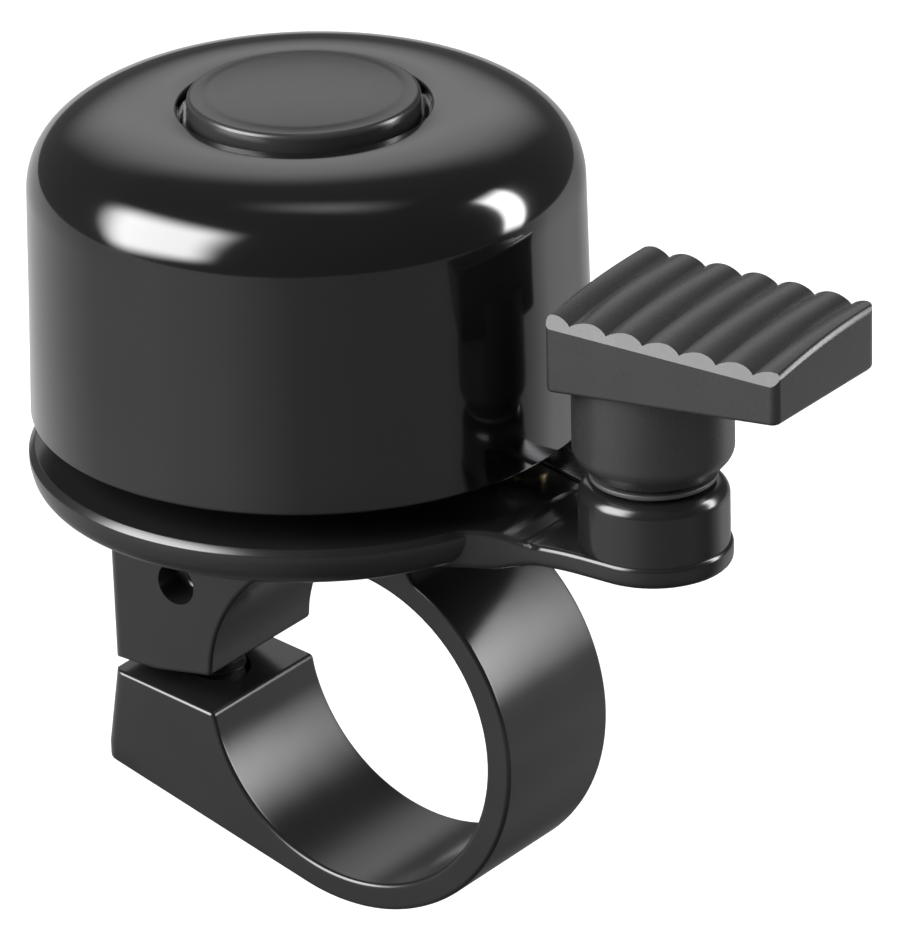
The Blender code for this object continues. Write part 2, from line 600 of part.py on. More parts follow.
def main():
    clear_scene()
    enamel = material("black_enamel", (0.012, 0.012, 0.013), 0.12)
    satin = material("satin_black", (0.02, 0.02, 0.021), 0.35)
    plastic = material("black_plastic", (0.03, 0.03, 0.031), 0.5)
    steel = material("zinc_steel", (0.55, 0.56, 0.58), 0.35, 1.0)
    black_steel = material("black_oxide_steel", (0.05, 0.05, 0.052), 0.4, 1.0)
    spring_steel = material("spring_steel", (0.13, 0.13, 0.14), 0.3, 1.0)
    brass = material("brass", (0.72, 0.55, 0.28), 0.3, 1.0)
    bronze = material("bronze", (0.5, 0.33, 0.18), 0.4, 1.0)
    rubber = material("rubber", (0.02, 0.02, 0.02), 0.8)
    nylon = material("nylon", (0.04, 0.04, 0.04), 0.5)

    base_casting(satin)
    dome(enamel)
    top_cap(plastic)
    cap_screw(steel)
    dome_fixing(steel, rubber)
    clamp_fixings(steel, black_steel)
    thumb_lever(plastic)
    lever_fixings(steel, bronze, nylon)
    return_spring(spring_steel)
    striker(steel, spring_steel, black_steel, brass)


main()
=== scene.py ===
"""Looks of a thumb-lever bicycle bell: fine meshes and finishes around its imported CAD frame.

Sizes are in millimetres unless a name says otherwise. The origin is the centre of the
handlebar bore, +Y runs along the handlebar, +Z is up and +X points from the dome towards
the thumb lever.
"""

import json
import logging
import math
from dataclasses import dataclass
from enum import Enum
from typing import Any, Callable, Sequence

import bpy
from mathutils import Matrix, Quaternion, Vector

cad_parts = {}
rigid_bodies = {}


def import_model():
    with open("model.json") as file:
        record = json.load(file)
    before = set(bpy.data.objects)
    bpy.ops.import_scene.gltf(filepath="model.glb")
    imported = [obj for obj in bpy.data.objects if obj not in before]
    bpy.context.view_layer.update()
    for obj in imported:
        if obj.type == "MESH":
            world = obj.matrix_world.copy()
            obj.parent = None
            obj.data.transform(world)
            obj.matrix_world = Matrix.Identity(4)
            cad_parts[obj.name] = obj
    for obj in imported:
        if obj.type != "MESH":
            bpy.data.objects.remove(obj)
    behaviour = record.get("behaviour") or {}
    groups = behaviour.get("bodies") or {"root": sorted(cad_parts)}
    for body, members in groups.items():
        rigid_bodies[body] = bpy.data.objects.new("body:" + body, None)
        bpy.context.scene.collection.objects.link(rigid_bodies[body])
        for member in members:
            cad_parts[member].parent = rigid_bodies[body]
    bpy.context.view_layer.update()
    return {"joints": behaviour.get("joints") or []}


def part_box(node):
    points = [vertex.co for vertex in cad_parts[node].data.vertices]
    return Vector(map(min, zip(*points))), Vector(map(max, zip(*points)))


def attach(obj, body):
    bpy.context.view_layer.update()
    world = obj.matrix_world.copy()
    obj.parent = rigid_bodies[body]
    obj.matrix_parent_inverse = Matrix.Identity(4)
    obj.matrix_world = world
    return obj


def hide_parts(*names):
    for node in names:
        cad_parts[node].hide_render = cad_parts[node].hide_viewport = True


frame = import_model()

LOG = logging.getLogger("bicycle_bell")
MM = 0.001
MERGE_MM = 0.001                      # doubles closer than this are one vertex
NEAR_MM = 0.01                        # lengths closer than this count as equal

Point = tuple[float, float]
Corner = tuple[float, ...]            # two coordinates, and the fillet's radius where it has one
Object = bpy.types.Object
Material = bpy.types.Material


class Body(Enum):
    """The bodies that a piece can ride on."""

    BASE = "base"
    LEVER = "lever"
    STRIKER = "striker"
    CLAMP_SCREW = "clamp_screw"


class Along(Enum):
    """The axis that a piece is turned about, or extruded along."""

    Y = (0.0, 1.0, 0.0)
    Z = (0.0, 0.0, 1.0)


def box_mm(node: str) -> tuple[Vector, Vector]:
    """Lowest and highest corner of a CAD node, in millimetres."""
    low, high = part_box(node)
    return low / MM, high / MM


def axis_mm(joint: str) -> Vector:
    """A joint's place, in millimetres."""
    found = next(j for j in frame["joints"] if j["name"] == joint)
    return Vector(found["pos_m"]) / MM


class Part(Enum):
    """The parts of a mesh that can be picked."""

    POINT = "VERT"
    EDGE = "EDGE"
    FACE = "FACE"


# ---------------------------------------------------------------- outlines

def arc(centre: Point, radius: float, start_deg: float, end_deg: float, steps: int) -> list[Point]:
    """Points on a circle.

    Args:
        centre: The circle's centre.
        radius: Its radius.
        start_deg: Angle of the first point.
        end_deg: Angle of the last point.
        steps: Chords between them.

    Returns:
        The points, both ends included.
    """
    turns = [math.radians(start_deg + (end_deg - start_deg) * i / steps) for i in range(steps + 1)]
    return [(centre[0] + radius * math.cos(t), centre[1] + radius * math.sin(t)) for t in turns]


def fillet(before: Vector, corner: Vector, after: Vector, radius: float, steps: int) -> list[Point]:
    """Round one corner of an outline.

    Args:
        before: The corner's neighbour on one side.
        corner: The sharp corner.
        after: Its neighbour on the other side.
        radius: The fillet's radius, made smaller where the sides are short.
        steps: Chords in the fillet.

    Returns:
        Points along the fillet, both tangent points included.
    """
    one, two = (before - corner), (after - corner)
    half = one.angle(two) / 2
    reach = min(radius / math.tan(half), 0.49 * one.length, 0.49 * two.length)
    radius = reach * math.tan(half)
    one.normalize()
    two.normalize()
    centre = corner + (one + two).normalized() * (radius / math.sin(half))
    start, end = corner + one * reach - centre, corner + two * reach - centre
    sweep = math.atan2(start.x * end.y - start.y * end.x, start.dot(end))
    points = []
    for i in range(steps + 1):
        turn = Matrix.Rotation(sweep * i / steps, 2)
        points.append(tuple(centre + turn @ start))
    return points


def rounded(corners: Sequence[Corner], closed: bool = False, steps: int = 6) -> list[Point]:
    """Turn a list of corners into an outline.

    Args:
        corners: (a, b) for a sharp corner, or (a, b, radius) for a rounded one.
        closed: True where the last corner joins the first.
        steps: Chords in each fillet.

    Returns:
        The outline's points.
    """
    places = [Vector(c[:2]) for c in corners]
    outline: list[Point] = []
    for i, corner in enumerate(corners):
        at_end = not closed and i in (0, len(corners) - 1)
        if len(corner) < 3 or at_end:
            outline.append((corner[0], corner[1]))
        else:
            after = places[(i + 1) % len(places)]
            outline += fillet(places[i - 1], places[i], after, corner[2], steps)
    return outline


def thread_flanks(radius: float, pitch: float, low: float, high: float) -> list[Point]:
    """Outline of a screw's threads, going up.

    Args:
        radius: Radius over the threads' crests.
        pitch: Distance from one crest to the next.
        low: Height of the first thread.
        high: Height of the last one.

    Returns:
        (radius, height) points.
    """
    depth = 0.6 * pitch
    count = int((high - low) / pitch)
    points = []
    for i in range(count):
        z = low + i * pitch
        points += [(radius - depth, z), (radius - depth, z + 0.15 * pitch),
                   (radius, z + 0.5 * pitch), (radius, z + 0.65 * pitch)]
    return points + [(radius - depth, low + count * pitch)]


# ---------------------------------------------------------------- modelling bench

class Bench:
    """Modelling operators, used on one piece at a time. Sizes are in millimetres."""

    @staticmethod
    def clear() -> None:
        """Leave edit mode and deselect every object."""
        if bpy.context.object and bpy.context.object.mode != "OBJECT":
            bpy.ops.object.mode_set(mode="OBJECT")
        bpy.ops.object.select_all(action="DESELECT")

    @staticmethod
    def choose(piece: Object) -> None:
        """Make one piece the active and only selected object."""
        Bench.clear()
        bpy.context.view_layer.objects.active = piece
        piece.select_set(True)

    @staticmethod
    def draw(name: str, points: Sequence[Vector], closed: bool) -> Object:
        """Draw a line by extruding one vertex from point to point, and stay in edit mode.

        Args:
            name: The new piece's name.
            points: Where the line goes.
            closed: True to run the line back to its first point.

        Returns:
            The piece, with its whole line selected.
        """
        Bench.clear()
        bpy.ops.mesh.primitive_circle_add(vertices=3, radius=MM, enter_editmode=True)
        bpy.context.object.name = name
        bpy.context.object.data.name = name
        bpy.ops.mesh.select_mode(type="VERT")
        bpy.ops.mesh.merge(type="CENTER")
        bpy.ops.transform.translate(value=points[0] * MM)
        path = list(points) + ([points[0]] if closed else [])
        for here, there in zip(path, path[1:]):
            bpy.ops.mesh.extrude_vertices_move(TRANSFORM_OT_translate={"value": (there - here) * MM})
        bpy.ops.mesh.select_all(action="SELECT")
        return bpy.context.object

    @staticmethod
    def draw_face(name: str, points: Sequence[Vector]) -> Object:
        """Draw a closed line and fill it, and stay in edit mode with the face selected."""
        piece = Bench.draw(name, points, True)
        bpy.ops.mesh.remove_doubles(threshold=MERGE_MM * MM)
        bpy.ops.mesh.edge_face_add()
        return piece

    @staticmethod
    def push(travel: Vector) -> None:
        """Extrude what is selected, by a distance in millimetres."""
        bpy.ops.mesh.extrude_region_move(TRANSFORM_OT_translate={"value": travel * MM})

    @staticmethod
    def close_mesh() -> None:
        """Merge doubles, turn every face outwards and leave edit mode."""
        bpy.ops.mesh.select_all(action="SELECT")
        bpy.ops.mesh.remove_doubles(threshold=MERGE_MM * MM)
        bpy.ops.mesh.normals_make_consistent(inside=False)
        bpy.ops.object.mode_set(mode="OBJECT")

    @staticmethod
    def lathe(name: str, outline: Sequence[Point], at: Point, segments: int,
              ring: bool = False, along: Along = Along.Z) -> Object:
        """Turn an outline about an axis.

        Args:
            name: The new piece's name.
            outline: (radius, height) points, from the axis and back to it unless it is a ring.
            at: Where the axis is: x and y, or x and z for one along Y.
            segments: Faces around the piece.
            ring: True where the outline closes on itself, clear of the axis.
            along: The axis's direction.

        Returns:
            The turned piece, closed.
        """
        if along is Along.Z:
            points = [Vector((at[0] + r, at[1], h)) for r, h in outline]
            centre = Vector((at[0], at[1], 0.0))
        else:
            points = [Vector((at[0] + r, h, at[1])) for r, h in outline]
            centre = Vector((at[0], 0.0, at[1]))
        piece = Bench.draw(name, points, ring)
        bpy.ops.mesh.spin(steps=segments, angle=math.tau, center=centre * MM, axis=along.value)
        Bench.close_mesh()
        return piece

    @staticmethod
    def prism(name: str, outline: Sequence[Point], low: float, high: float,
              along: Along = Along.Z) -> Object:
        """Extrude a closed outline.

        Args:
            name: The new piece's name.
            outline: x and y points, or x and z for one extruded along Y.
            low: Where the extrusion starts.
            high: Where it ends.
            along: Its direction.

        Returns:
            The extruded piece, closed.
        """
        if along is Along.Z:
            points = [Vector((a, b, low)) for a, b in outline]
        else:
            points = [Vector((a, low, b)) for a, b in outline]
        piece = Bench.draw_face(name, points)
        Bench.push(Vector(along.value) * (high - low))
        Bench.close_mesh()
        return piece

    @staticmethod
    def washer(name: str, node: str, at: Point, inner: Point, outer: Point) -> Object:
        """Turn a washer as high as its CAD node.

        Args:
            name: The new piece's name.
            node: The CAD node that gives its height.
            at: Where its axis is.
            inner: The hole's radius, and that of its rounded edges.
            outer: The rim's radius, and that of its rounded edges.

        Returns:
            The washer.
        """
        low, high = box_mm(node)
        (hole, hole_edge), (rim, rim_edge) = inner, outer
        corners = [(hole, low.z, hole_edge), (rim, low.z, rim_edge),
                   (rim, high.z, rim_edge), (hole, high.z, hole_edge)]
        return Bench.lathe(name, rounded(corners, True, 3), at, 64, ring=True)

    @staticmethod
    def block(name: str, low: Sequence[float], high: Sequence[float]) -> Object:
        """A cutter with straight sides, between two corners."""
        outline = [(low[0], low[1]), (high[0], low[1]), (high[0], high[1]), (low[0], high[1])]
        return Bench.prism(name, outline, low[2], high[2])

    @staticmethod
    def pick(piece: Object, kind: Part, test: Callable[[Any], bool]) -> None:
        """Enter edit mode with only some parts of a mesh selected.

        Args:
            piece: The piece to work on.
            kind: The kind of part to pick.
            test: Says of a vertex, edge or face of the mesh if it is wanted.
        """
        Bench.choose(piece)
        bpy.ops.object.mode_set(mode="EDIT")
        bpy.ops.mesh.select_mode(type=kind.value)
        bpy.ops.mesh.select_all(action="DESELECT")
        bpy.ops.object.mode_set(mode="OBJECT")
        mesh = piece.data
        parts = {Part.POINT: mesh.vertices, Part.EDGE: mesh.edges, Part.FACE: mesh.polygons}
        for part in parts[kind]:
            part.select = test(part)
        bpy.ops.object.mode_set(mode="EDIT")

    @staticmethod
    def shift_points(piece: Object, rise: float, test: Callable[[Vector], bool]) -> None:
        """Raise the vertices whose place, in millimetres, passes a test."""
        Bench.pick(piece, Part.POINT, lambda vertex: test(vertex.co / MM))
        bpy.ops.transform.translate(value=(0.0, 0.0, rise * MM))

    @staticmethod
    def round_edges(piece: Object, width: float, segments: int,
                    test: Callable[[Vector, Vector], bool], sharp_deg: float = 0.0,
                    limit: bool = True) -> None:
        """Bevel the chosen edges of a piece.

        Args:
            piece: The piece to work on.
            width: The bevel's width.
            segments: Faces across it.
            test: Says of an edge's two ends if it is wanted.
            sharp_deg: Leaves out edges between faces that meet at less than this angle.
            limit: True to make the bevel narrower where it would run into its neighbours.
        """
        Bench.pick(piece, Part.EDGE, lambda edge: test(
            *(piece.data.vertices[i].co / MM for i in edge.vertices)))
        if sharp_deg:
            Bench.drop_flat_edges(piece, sharp_deg)
        bpy.ops.mesh.bevel(offset=width * MM, segments=segments, affect="EDGES",
                            clamp_overlap=limit)
        Bench.close_mesh()

    @staticmethod
    def drop_flat_edges(piece: Object, sharp_deg: float) -> None:
        """Keep only the sharp ones of the edges that are selected."""
        bpy.ops.object.mode_set(mode="OBJECT")
        wanted = {e.index for e in piece.data.edges if e.select}
        bpy.ops.object.mode_set(mode="EDIT")
        bpy.ops.mesh.select_all(action="DESELECT")
        bpy.ops.mesh.edges_select_sharp(sharpness=math.radians(sharp_deg))
        bpy.ops.object.mode_set(mode="OBJECT")
        sharp = {e.index for e in piece.data.edges if e.select}
        bpy.ops.object.mode_set(mode="EDIT")
        bpy.ops.mesh.select_all(action="DESELECT")
        bpy.ops.object.mode_set(mode="OBJECT")
        for edge in piece.data.edges:
            edge.select = edge.index in wanted & sharp
        bpy.ops.object.mode_set(mode="EDIT")

    @staticmethod
    def bisect(piece: Object, place: Vector, normal: Vector, drop: bool) -> None:
        """Cut a piece along a plane.

        Args:
            piece: The piece to cut.
            place: A point of the plane.
            normal: The plane's normal, of any length.
            drop: True to drop the normal's side and fill the cut, False to add edges only.
        """
        Bench.choose(piece)
        bpy.ops.object.mode_set(mode="EDIT")
        bpy.ops.mesh.select_all(action="SELECT")
        bpy.ops.mesh.bisect(plane_co=place * MM, plane_no=normal.normalized(), use_fill=drop,
                            clear_outer=drop, threshold=MERGE_MM * MM)
        Bench.close_mesh()

    @staticmethod
    def boolean(piece: Object, tools: Sequence[Object], operation: str) -> Object:
        """Join, cut or intersect a piece with helper shapes, which are used up.

        Args:
            piece: The piece to change.
            tools: The helper shapes.
            operation: UNION, DIFFERENCE or INTERSECT.

        Returns:
            The changed piece.
        """
        group = bpy.data.collections.new(f"{piece.name}_tools")
        for tool in tools:
            group.objects.link(tool)
        Bench.choose(piece)
        bpy.ops.object.modifier_add(type="BOOLEAN")
        modifier = piece.modifiers[-1]
        modifier.operation = operation
        modifier.operand_type = "COLLECTION"
        modifier.collection = group
        bpy.ops.object.modifier_apply(modifier=modifier.name)
        bpy.data.collections.remove(group)
        for tool in tools:
            bpy.data.meshes.remove(tool.data)
        return piece

    @staticmethod
    def join(piece: Object, *tools: Object) -> Object:
        """Unite a piece with helper shapes."""
        return Bench.boolean(piece, tools, "UNION")

    @staticmethod
    def cut(piece: Object, *tools: Object) -> Object:
        """Cut helper shapes out of a piece."""
        return Bench.boolean(piece, tools, "DIFFERENCE")

    @staticmethod
    def smooth(piece: Object, angle_deg: float = 30.0, weighted: bool = False) -> Object:
        """Shade a piece's round faces smooth.

        Args:
            piece: The finished mesh.
            angle_deg: Edges sharper than this stay sharp.
            weighted: True to keep large flat faces flat beside their rounded edges.

        Returns:
            The same piece.
        """
        Bench.choose(piece)
        bpy.ops.object.shade_smooth_by_angle(angle=math.radians(angle_deg))
        if weighted:
            bpy.ops.object.modifier_add(type="WEIGHTED_NORMAL")
            modifier = piece.modifiers[-1]
            modifier.keep_sharp = True
            modifier.weight = 80
            bpy.ops.object.modifier_apply(modifier=modifier.name)
        return piece


def fit(piece: Object, finish: Material, body: Body, node: str) -> Object:
    """Dress a finished mesh and let it stand for its CAD node.

    Args:
        piece: The finished mesh, with its place in its vertices.
        finish: Its material.
        body: The body that it rides on.
        node: The CAD node that it replaces.

    Returns:
        The same piece.
    """
    piece.data.materials.clear()
    piece.data.materials.append(finish)
    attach(piece, body.value)
    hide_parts(node)
    LOG.info("%s: %d faces on %s", piece.name, len(piece.data.polygons), body.value)
    return piece


# ---------------------------------------------------------------- shader maths

class Wave:
    """A number that varies over a surface, and takes part in Python arithmetic."""

    def __init__(self, sheet: "Sheet", socket: bpy.types.NodeSocket) -> None:
        """Wrap one output socket of a sheet's node tree."""
        self.sheet = sheet
        self.socket = socket

    def _maths(self, operation: str, first: Any, second: Any) -> "Wave":
        """Add one Math node."""
        node = self.sheet.node("ShaderNodeMath", {"operation": operation}, {0: first, 1: second})
        return Wave(self.sheet, node.outputs[0])

    def __add__(self, other: Any) -> "Wave":
        """This plus other."""
        return self._maths("ADD", self, other)

    __radd__ = __add__

    def __sub__(self, other: Any) -> "Wave":
        """This minus other."""
        return self._maths("SUBTRACT", self, other)

    def __rsub__(self, other: Any) -> "Wave":
        """Other minus this."""
        return self._maths("SUBTRACT", other, self)

    def __mul__(self, other: Any) -> "Wave":
        """This times other."""
        return self._maths("MULTIPLY", self, other)

    __rmul__ = __mul__

    def inset(self, share: float) -> "Wave":
        """Rise smoothly from 0 at this wave's 0, and fall back to 0 at its 1, over a share of it."""
        inside = self._maths("MINIMUM", self, 1.0 - self)
        node = self.sheet.node("ShaderNodeMapRange", {"interpolation_type": "SMOOTHSTEP"},
                               {"Value": inside, "From Min": 0.0, "From Max": share})
        return Wave(self.sheet, node.outputs[0])

    def turn_from(self, other: Any) -> "Wave":
        """Angle whose sine goes as this and cosine as other, in radians."""
        return self._maths("ARCTAN2", self, other)

    def __pow__(self, other: Any) -> "Wave":
        """This to the power of other."""
        return self._maths("POWER", self, other)


class Sheet:
    """One material's node tree around a Principled surface."""

    def __init__(self, name: str) -> None:
        """Start a material with an empty tree."""
        self.material = bpy.data.materials.new(name)
        self.material.use_nodes = True
        self.tree = self.material.node_tree
        self.tree.nodes.clear()
        self.surface = self.node("ShaderNodeBsdfPrincipled")
        self.node("ShaderNodeOutputMaterial", {}, {"Surface": self.surface.outputs[0]})
        self.place = self.node("ShaderNodeTexCoord").outputs["Object"]

    @classmethod
    def on(cls, tree: bpy.types.NodeTree) -> "Sheet":
        """Work on a tree that exists already, such as a light's."""
        sheet = cls.__new__(cls)
        sheet.tree = tree
        return sheet

    def node(self, kind: str, settings: dict[str, Any] | None = None,
             values: dict[Any, Any] | None = None) -> bpy.types.Node:
        """Add a node.

        Args:
            kind: The node's type.
            settings: Its own properties, and "stops" for a ramp's (position, grey) pairs.
            values: What its sockets take: numbers, tuples, sockets or waves.

        Returns:
            The new node.
        """
        node = self.tree.nodes.new(kind)
        for name, setting in (settings or {}).items():
            if name == "stops":
                self._set_stops(node, setting)
            else:
                setattr(node, name, setting)
        for key, value in (values or {}).items():
            self._feed(node.inputs[key], value)
        return node

    def _feed(self, socket: bpy.types.NodeSocket, value: Any) -> None:
        """Give a socket a number, a tuple, a wave or what another socket gives."""
        if isinstance(value, Wave):
            value = value.socket
        if isinstance(value, bpy.types.NodeSocket):
            self.tree.links.new(value, socket)
        else:
            socket.default_value = value

    @staticmethod
    def _set_stops(node: bpy.types.Node, stops: Sequence[Point]) -> None:
        """Give a colour ramp its grey stops."""
        ramp = node.color_ramp
        while len(ramp.elements) < len(stops):
            ramp.elements.new(1.0)
        for element, (position, grey) in zip(ramp.elements, stops):
            element.position = position
            element.color = (grey, grey, grey, 1.0)

    def place_mm(self, centre: Vector = Vector((0, 0, 0)), stretch: Sequence[float] = (1, 1, 1)) -> Any:
        """Object coordinates in millimetres, counted from a centre and stretched by axis."""
        moved = self.node("ShaderNodeVectorMath", {"operation": "SUBTRACT"},
                          {0: self.place, 1: tuple(centre * MM)})
        scale = tuple(s / MM for s in stretch)
        grown = self.node("ShaderNodeVectorMath", {"operation": "MULTIPLY"},
                          {0: moved.outputs[0], 1: scale})
        return grown.outputs[0]

    def noise(self, per_mm: float, detail: float = 2.0, rough: float = 0.5, place: Any = None) -> Wave:
        """Smooth noise from 0 to 1.

        Args:
            per_mm: Grains in a millimetre.
            detail: Octaves of finer noise on top.
            rough: How strong those are.
            place: Coordinates, or None for the object's own.

        Returns:
            The noise.
        """
        node = self.node("ShaderNodeTexNoise", {"noise_dimensions": "3D"},
                         {"Vector": place or self.place_mm(), "Scale": per_mm,
                          "Detail": detail, "Roughness": rough})
        return Wave(self, node.outputs["Fac"])

    def ramp(self, wave: Wave, *stops: Point) -> Wave:
        """Shape a wave with a ramp of (position, grey) stops."""
        node = self.node("ShaderNodeValToRGB", {"stops": stops}, {"Fac": wave})
        return Wave(self, node.outputs["Color"])

    def blend(self, mask: Wave, first: Sequence[float], second: Sequence[float]) -> Any:
        """Mix two colours by a mask."""
        node = self.node("ShaderNodeMix", {"data_type": "RGBA"},
                         {"Factor": mask, 6: (*first, 1.0), 7: (*second, 1.0)})
        return node.outputs[2]

    def bump(self, height: Wave, depth_mm: float, strength: float = 1.0, under: Any = None) -> Any:
        """A bump of a real depth, on top of another where one is given."""
        values = {"Height": height, "Distance": depth_mm * MM, "Strength": strength}
        if under is not None:
            values["Normal"] = under
        return self.node("ShaderNodeBump", {}, values).outputs[0]

    def set(self, **values: Any) -> Material:
        """Set the surface's sockets, named with underscores for spaces, and hand the material over."""
        for name, value in values.items():
            self._feed(self.surface.inputs[name.replace("_", " ")], value)
        return self.material


def grey(level: float) -> tuple[float, float, float]:
    """A neutral colour with the faintest lean to blue."""
    return (level, level, level * 1.02)


@dataclass(frozen=True)
class GlossEnamel:
    """Stoved black enamel on pressed metal: deep gloss with a faint orange peel."""

    name: str = "gloss_black_enamel"
    base: float = 0.0035
    roughness: float = 0.11

    def material(self) -> Material:
        """Build the enamel."""
        sheet = Sheet(self.name)
        peel = sheet.noise(0.55, 1.0)
        specks = sheet.ramp(sheet.noise(7.0, 1.0), (0.72, 0.0), (0.78, 1.0))
        tone = sheet.noise(0.12, 2.0)
        return sheet.set(
            Base_Color=sheet.blend(tone, grey(self.base * 0.8), grey(self.base * 1.3)),
            Roughness=self.roughness + 0.03 * (tone - 0.5) + 0.05 * specks,
            Coat_Weight=0.35,
            Coat_Roughness=0.04,
            IOR=1.5,
            Normal=sheet.bump(peel, 0.004),
        )


@dataclass(frozen=True)
class SatinCasting:
    """Satin powder coat on a die casting."""

    name: str = "satin_black_casting"
    base: float = 0.009
    roughness: float = 0.19

    def material(self) -> Material:
        """Build the powder coat."""
        sheet = Sheet(self.name)
        grain = sheet.noise(5.0, 3.0, 0.6)
        flow = sheet.noise(0.6, 2.0)
        tone = sheet.noise(0.2, 2.0)
        fine = sheet.bump(grain, 0.0004)
        return sheet.set(
            Base_Color=sheet.blend(tone, grey(self.base * 0.8), grey(self.base * 1.25)),
            Roughness=self.roughness + 0.03 * (grain - 0.5) + 0.04 * (tone - 0.5),
            IOR=1.5,
            Normal=sheet.bump(flow, 0.002, under=fine),
        )


@dataclass(frozen=True)
class MouldedPlastic:
    """Black moulded plastic, from matte to semi-gloss."""

    name: str
    base: float
    roughness: float
    grain_depth: float

    def material(self) -> Material:
        """Build the plastic."""
        sheet = Sheet(self.name)
        grain = sheet.noise(6.0, 2.0, 0.55)
        flow = sheet.noise(0.35, 3.0)
        rubbed = sheet.ramp(sheet.noise(0.8, 4.0, 0.7), (0.55, 0.0), (0.75, 1.0))
        return sheet.set(
            Base_Color=sheet.blend(flow, grey(self.base * 0.85), grey(self.base * 1.18)),
            Roughness=self.roughness + 0.1 * (grain - 0.5) - 0.05 * rubbed,
            IOR=1.46,
            Normal=sheet.bump(grain, self.grain_depth),
        )


@dataclass(frozen=True)
class TurnedMetal:
    """Bare or plated metal with the fine rings that turning and rolling leave."""

    name: str
    colour: tuple[float, float, float]
    roughness: float
    axis: Vector
    rings_per_mm: float = 4.0
    stain: float = 0.25

    def material(self) -> Material:
        """Build the metal."""
        sheet = Sheet(self.name)
        place = sheet.place_mm(self.axis)
        rings = sheet.node("ShaderNodeTexWave", {"wave_type": "RINGS", "rings_direction": "Z"},
                           {"Vector": place, "Scale": self.rings_per_mm, "Distortion": 1.2,
                            "Detail": 2.0, "Detail Scale": 2.0})
        rings = Wave(sheet, rings.outputs["Fac"])
        cloud = sheet.noise(0.7, 3.0, 0.6)
        dull = tuple(c * (1.0 - self.stain) for c in self.colour)
        return sheet.set(
            Base_Color=sheet.blend(cloud, dull, self.colour),
            Metallic=1.0,
            Roughness=self.roughness + 0.12 * (cloud - 0.5) + 0.06 * (rings - 0.5),
            Normal=sheet.bump(rings, 0.001),
        )


@dataclass(frozen=True)
class SoftRubber:
    """Moulded rubber with a dusty bloom."""

    name: str = "moulded_rubber"

    def material(self) -> Material:
        """Build the rubber."""
        sheet = Sheet(self.name)
        bloom = sheet.noise(1.5, 4.0, 0.65)
        grain = sheet.noise(9.0, 2.0)
        return sheet.set(
            Base_Color=sheet.blend(bloom, grey(0.012), grey(0.03)),
            Roughness=0.72 + 0.15 * bloom,
            Normal=sheet.bump(grain, 0.01),
        )


# ---------------------------------------------------------------- base casting

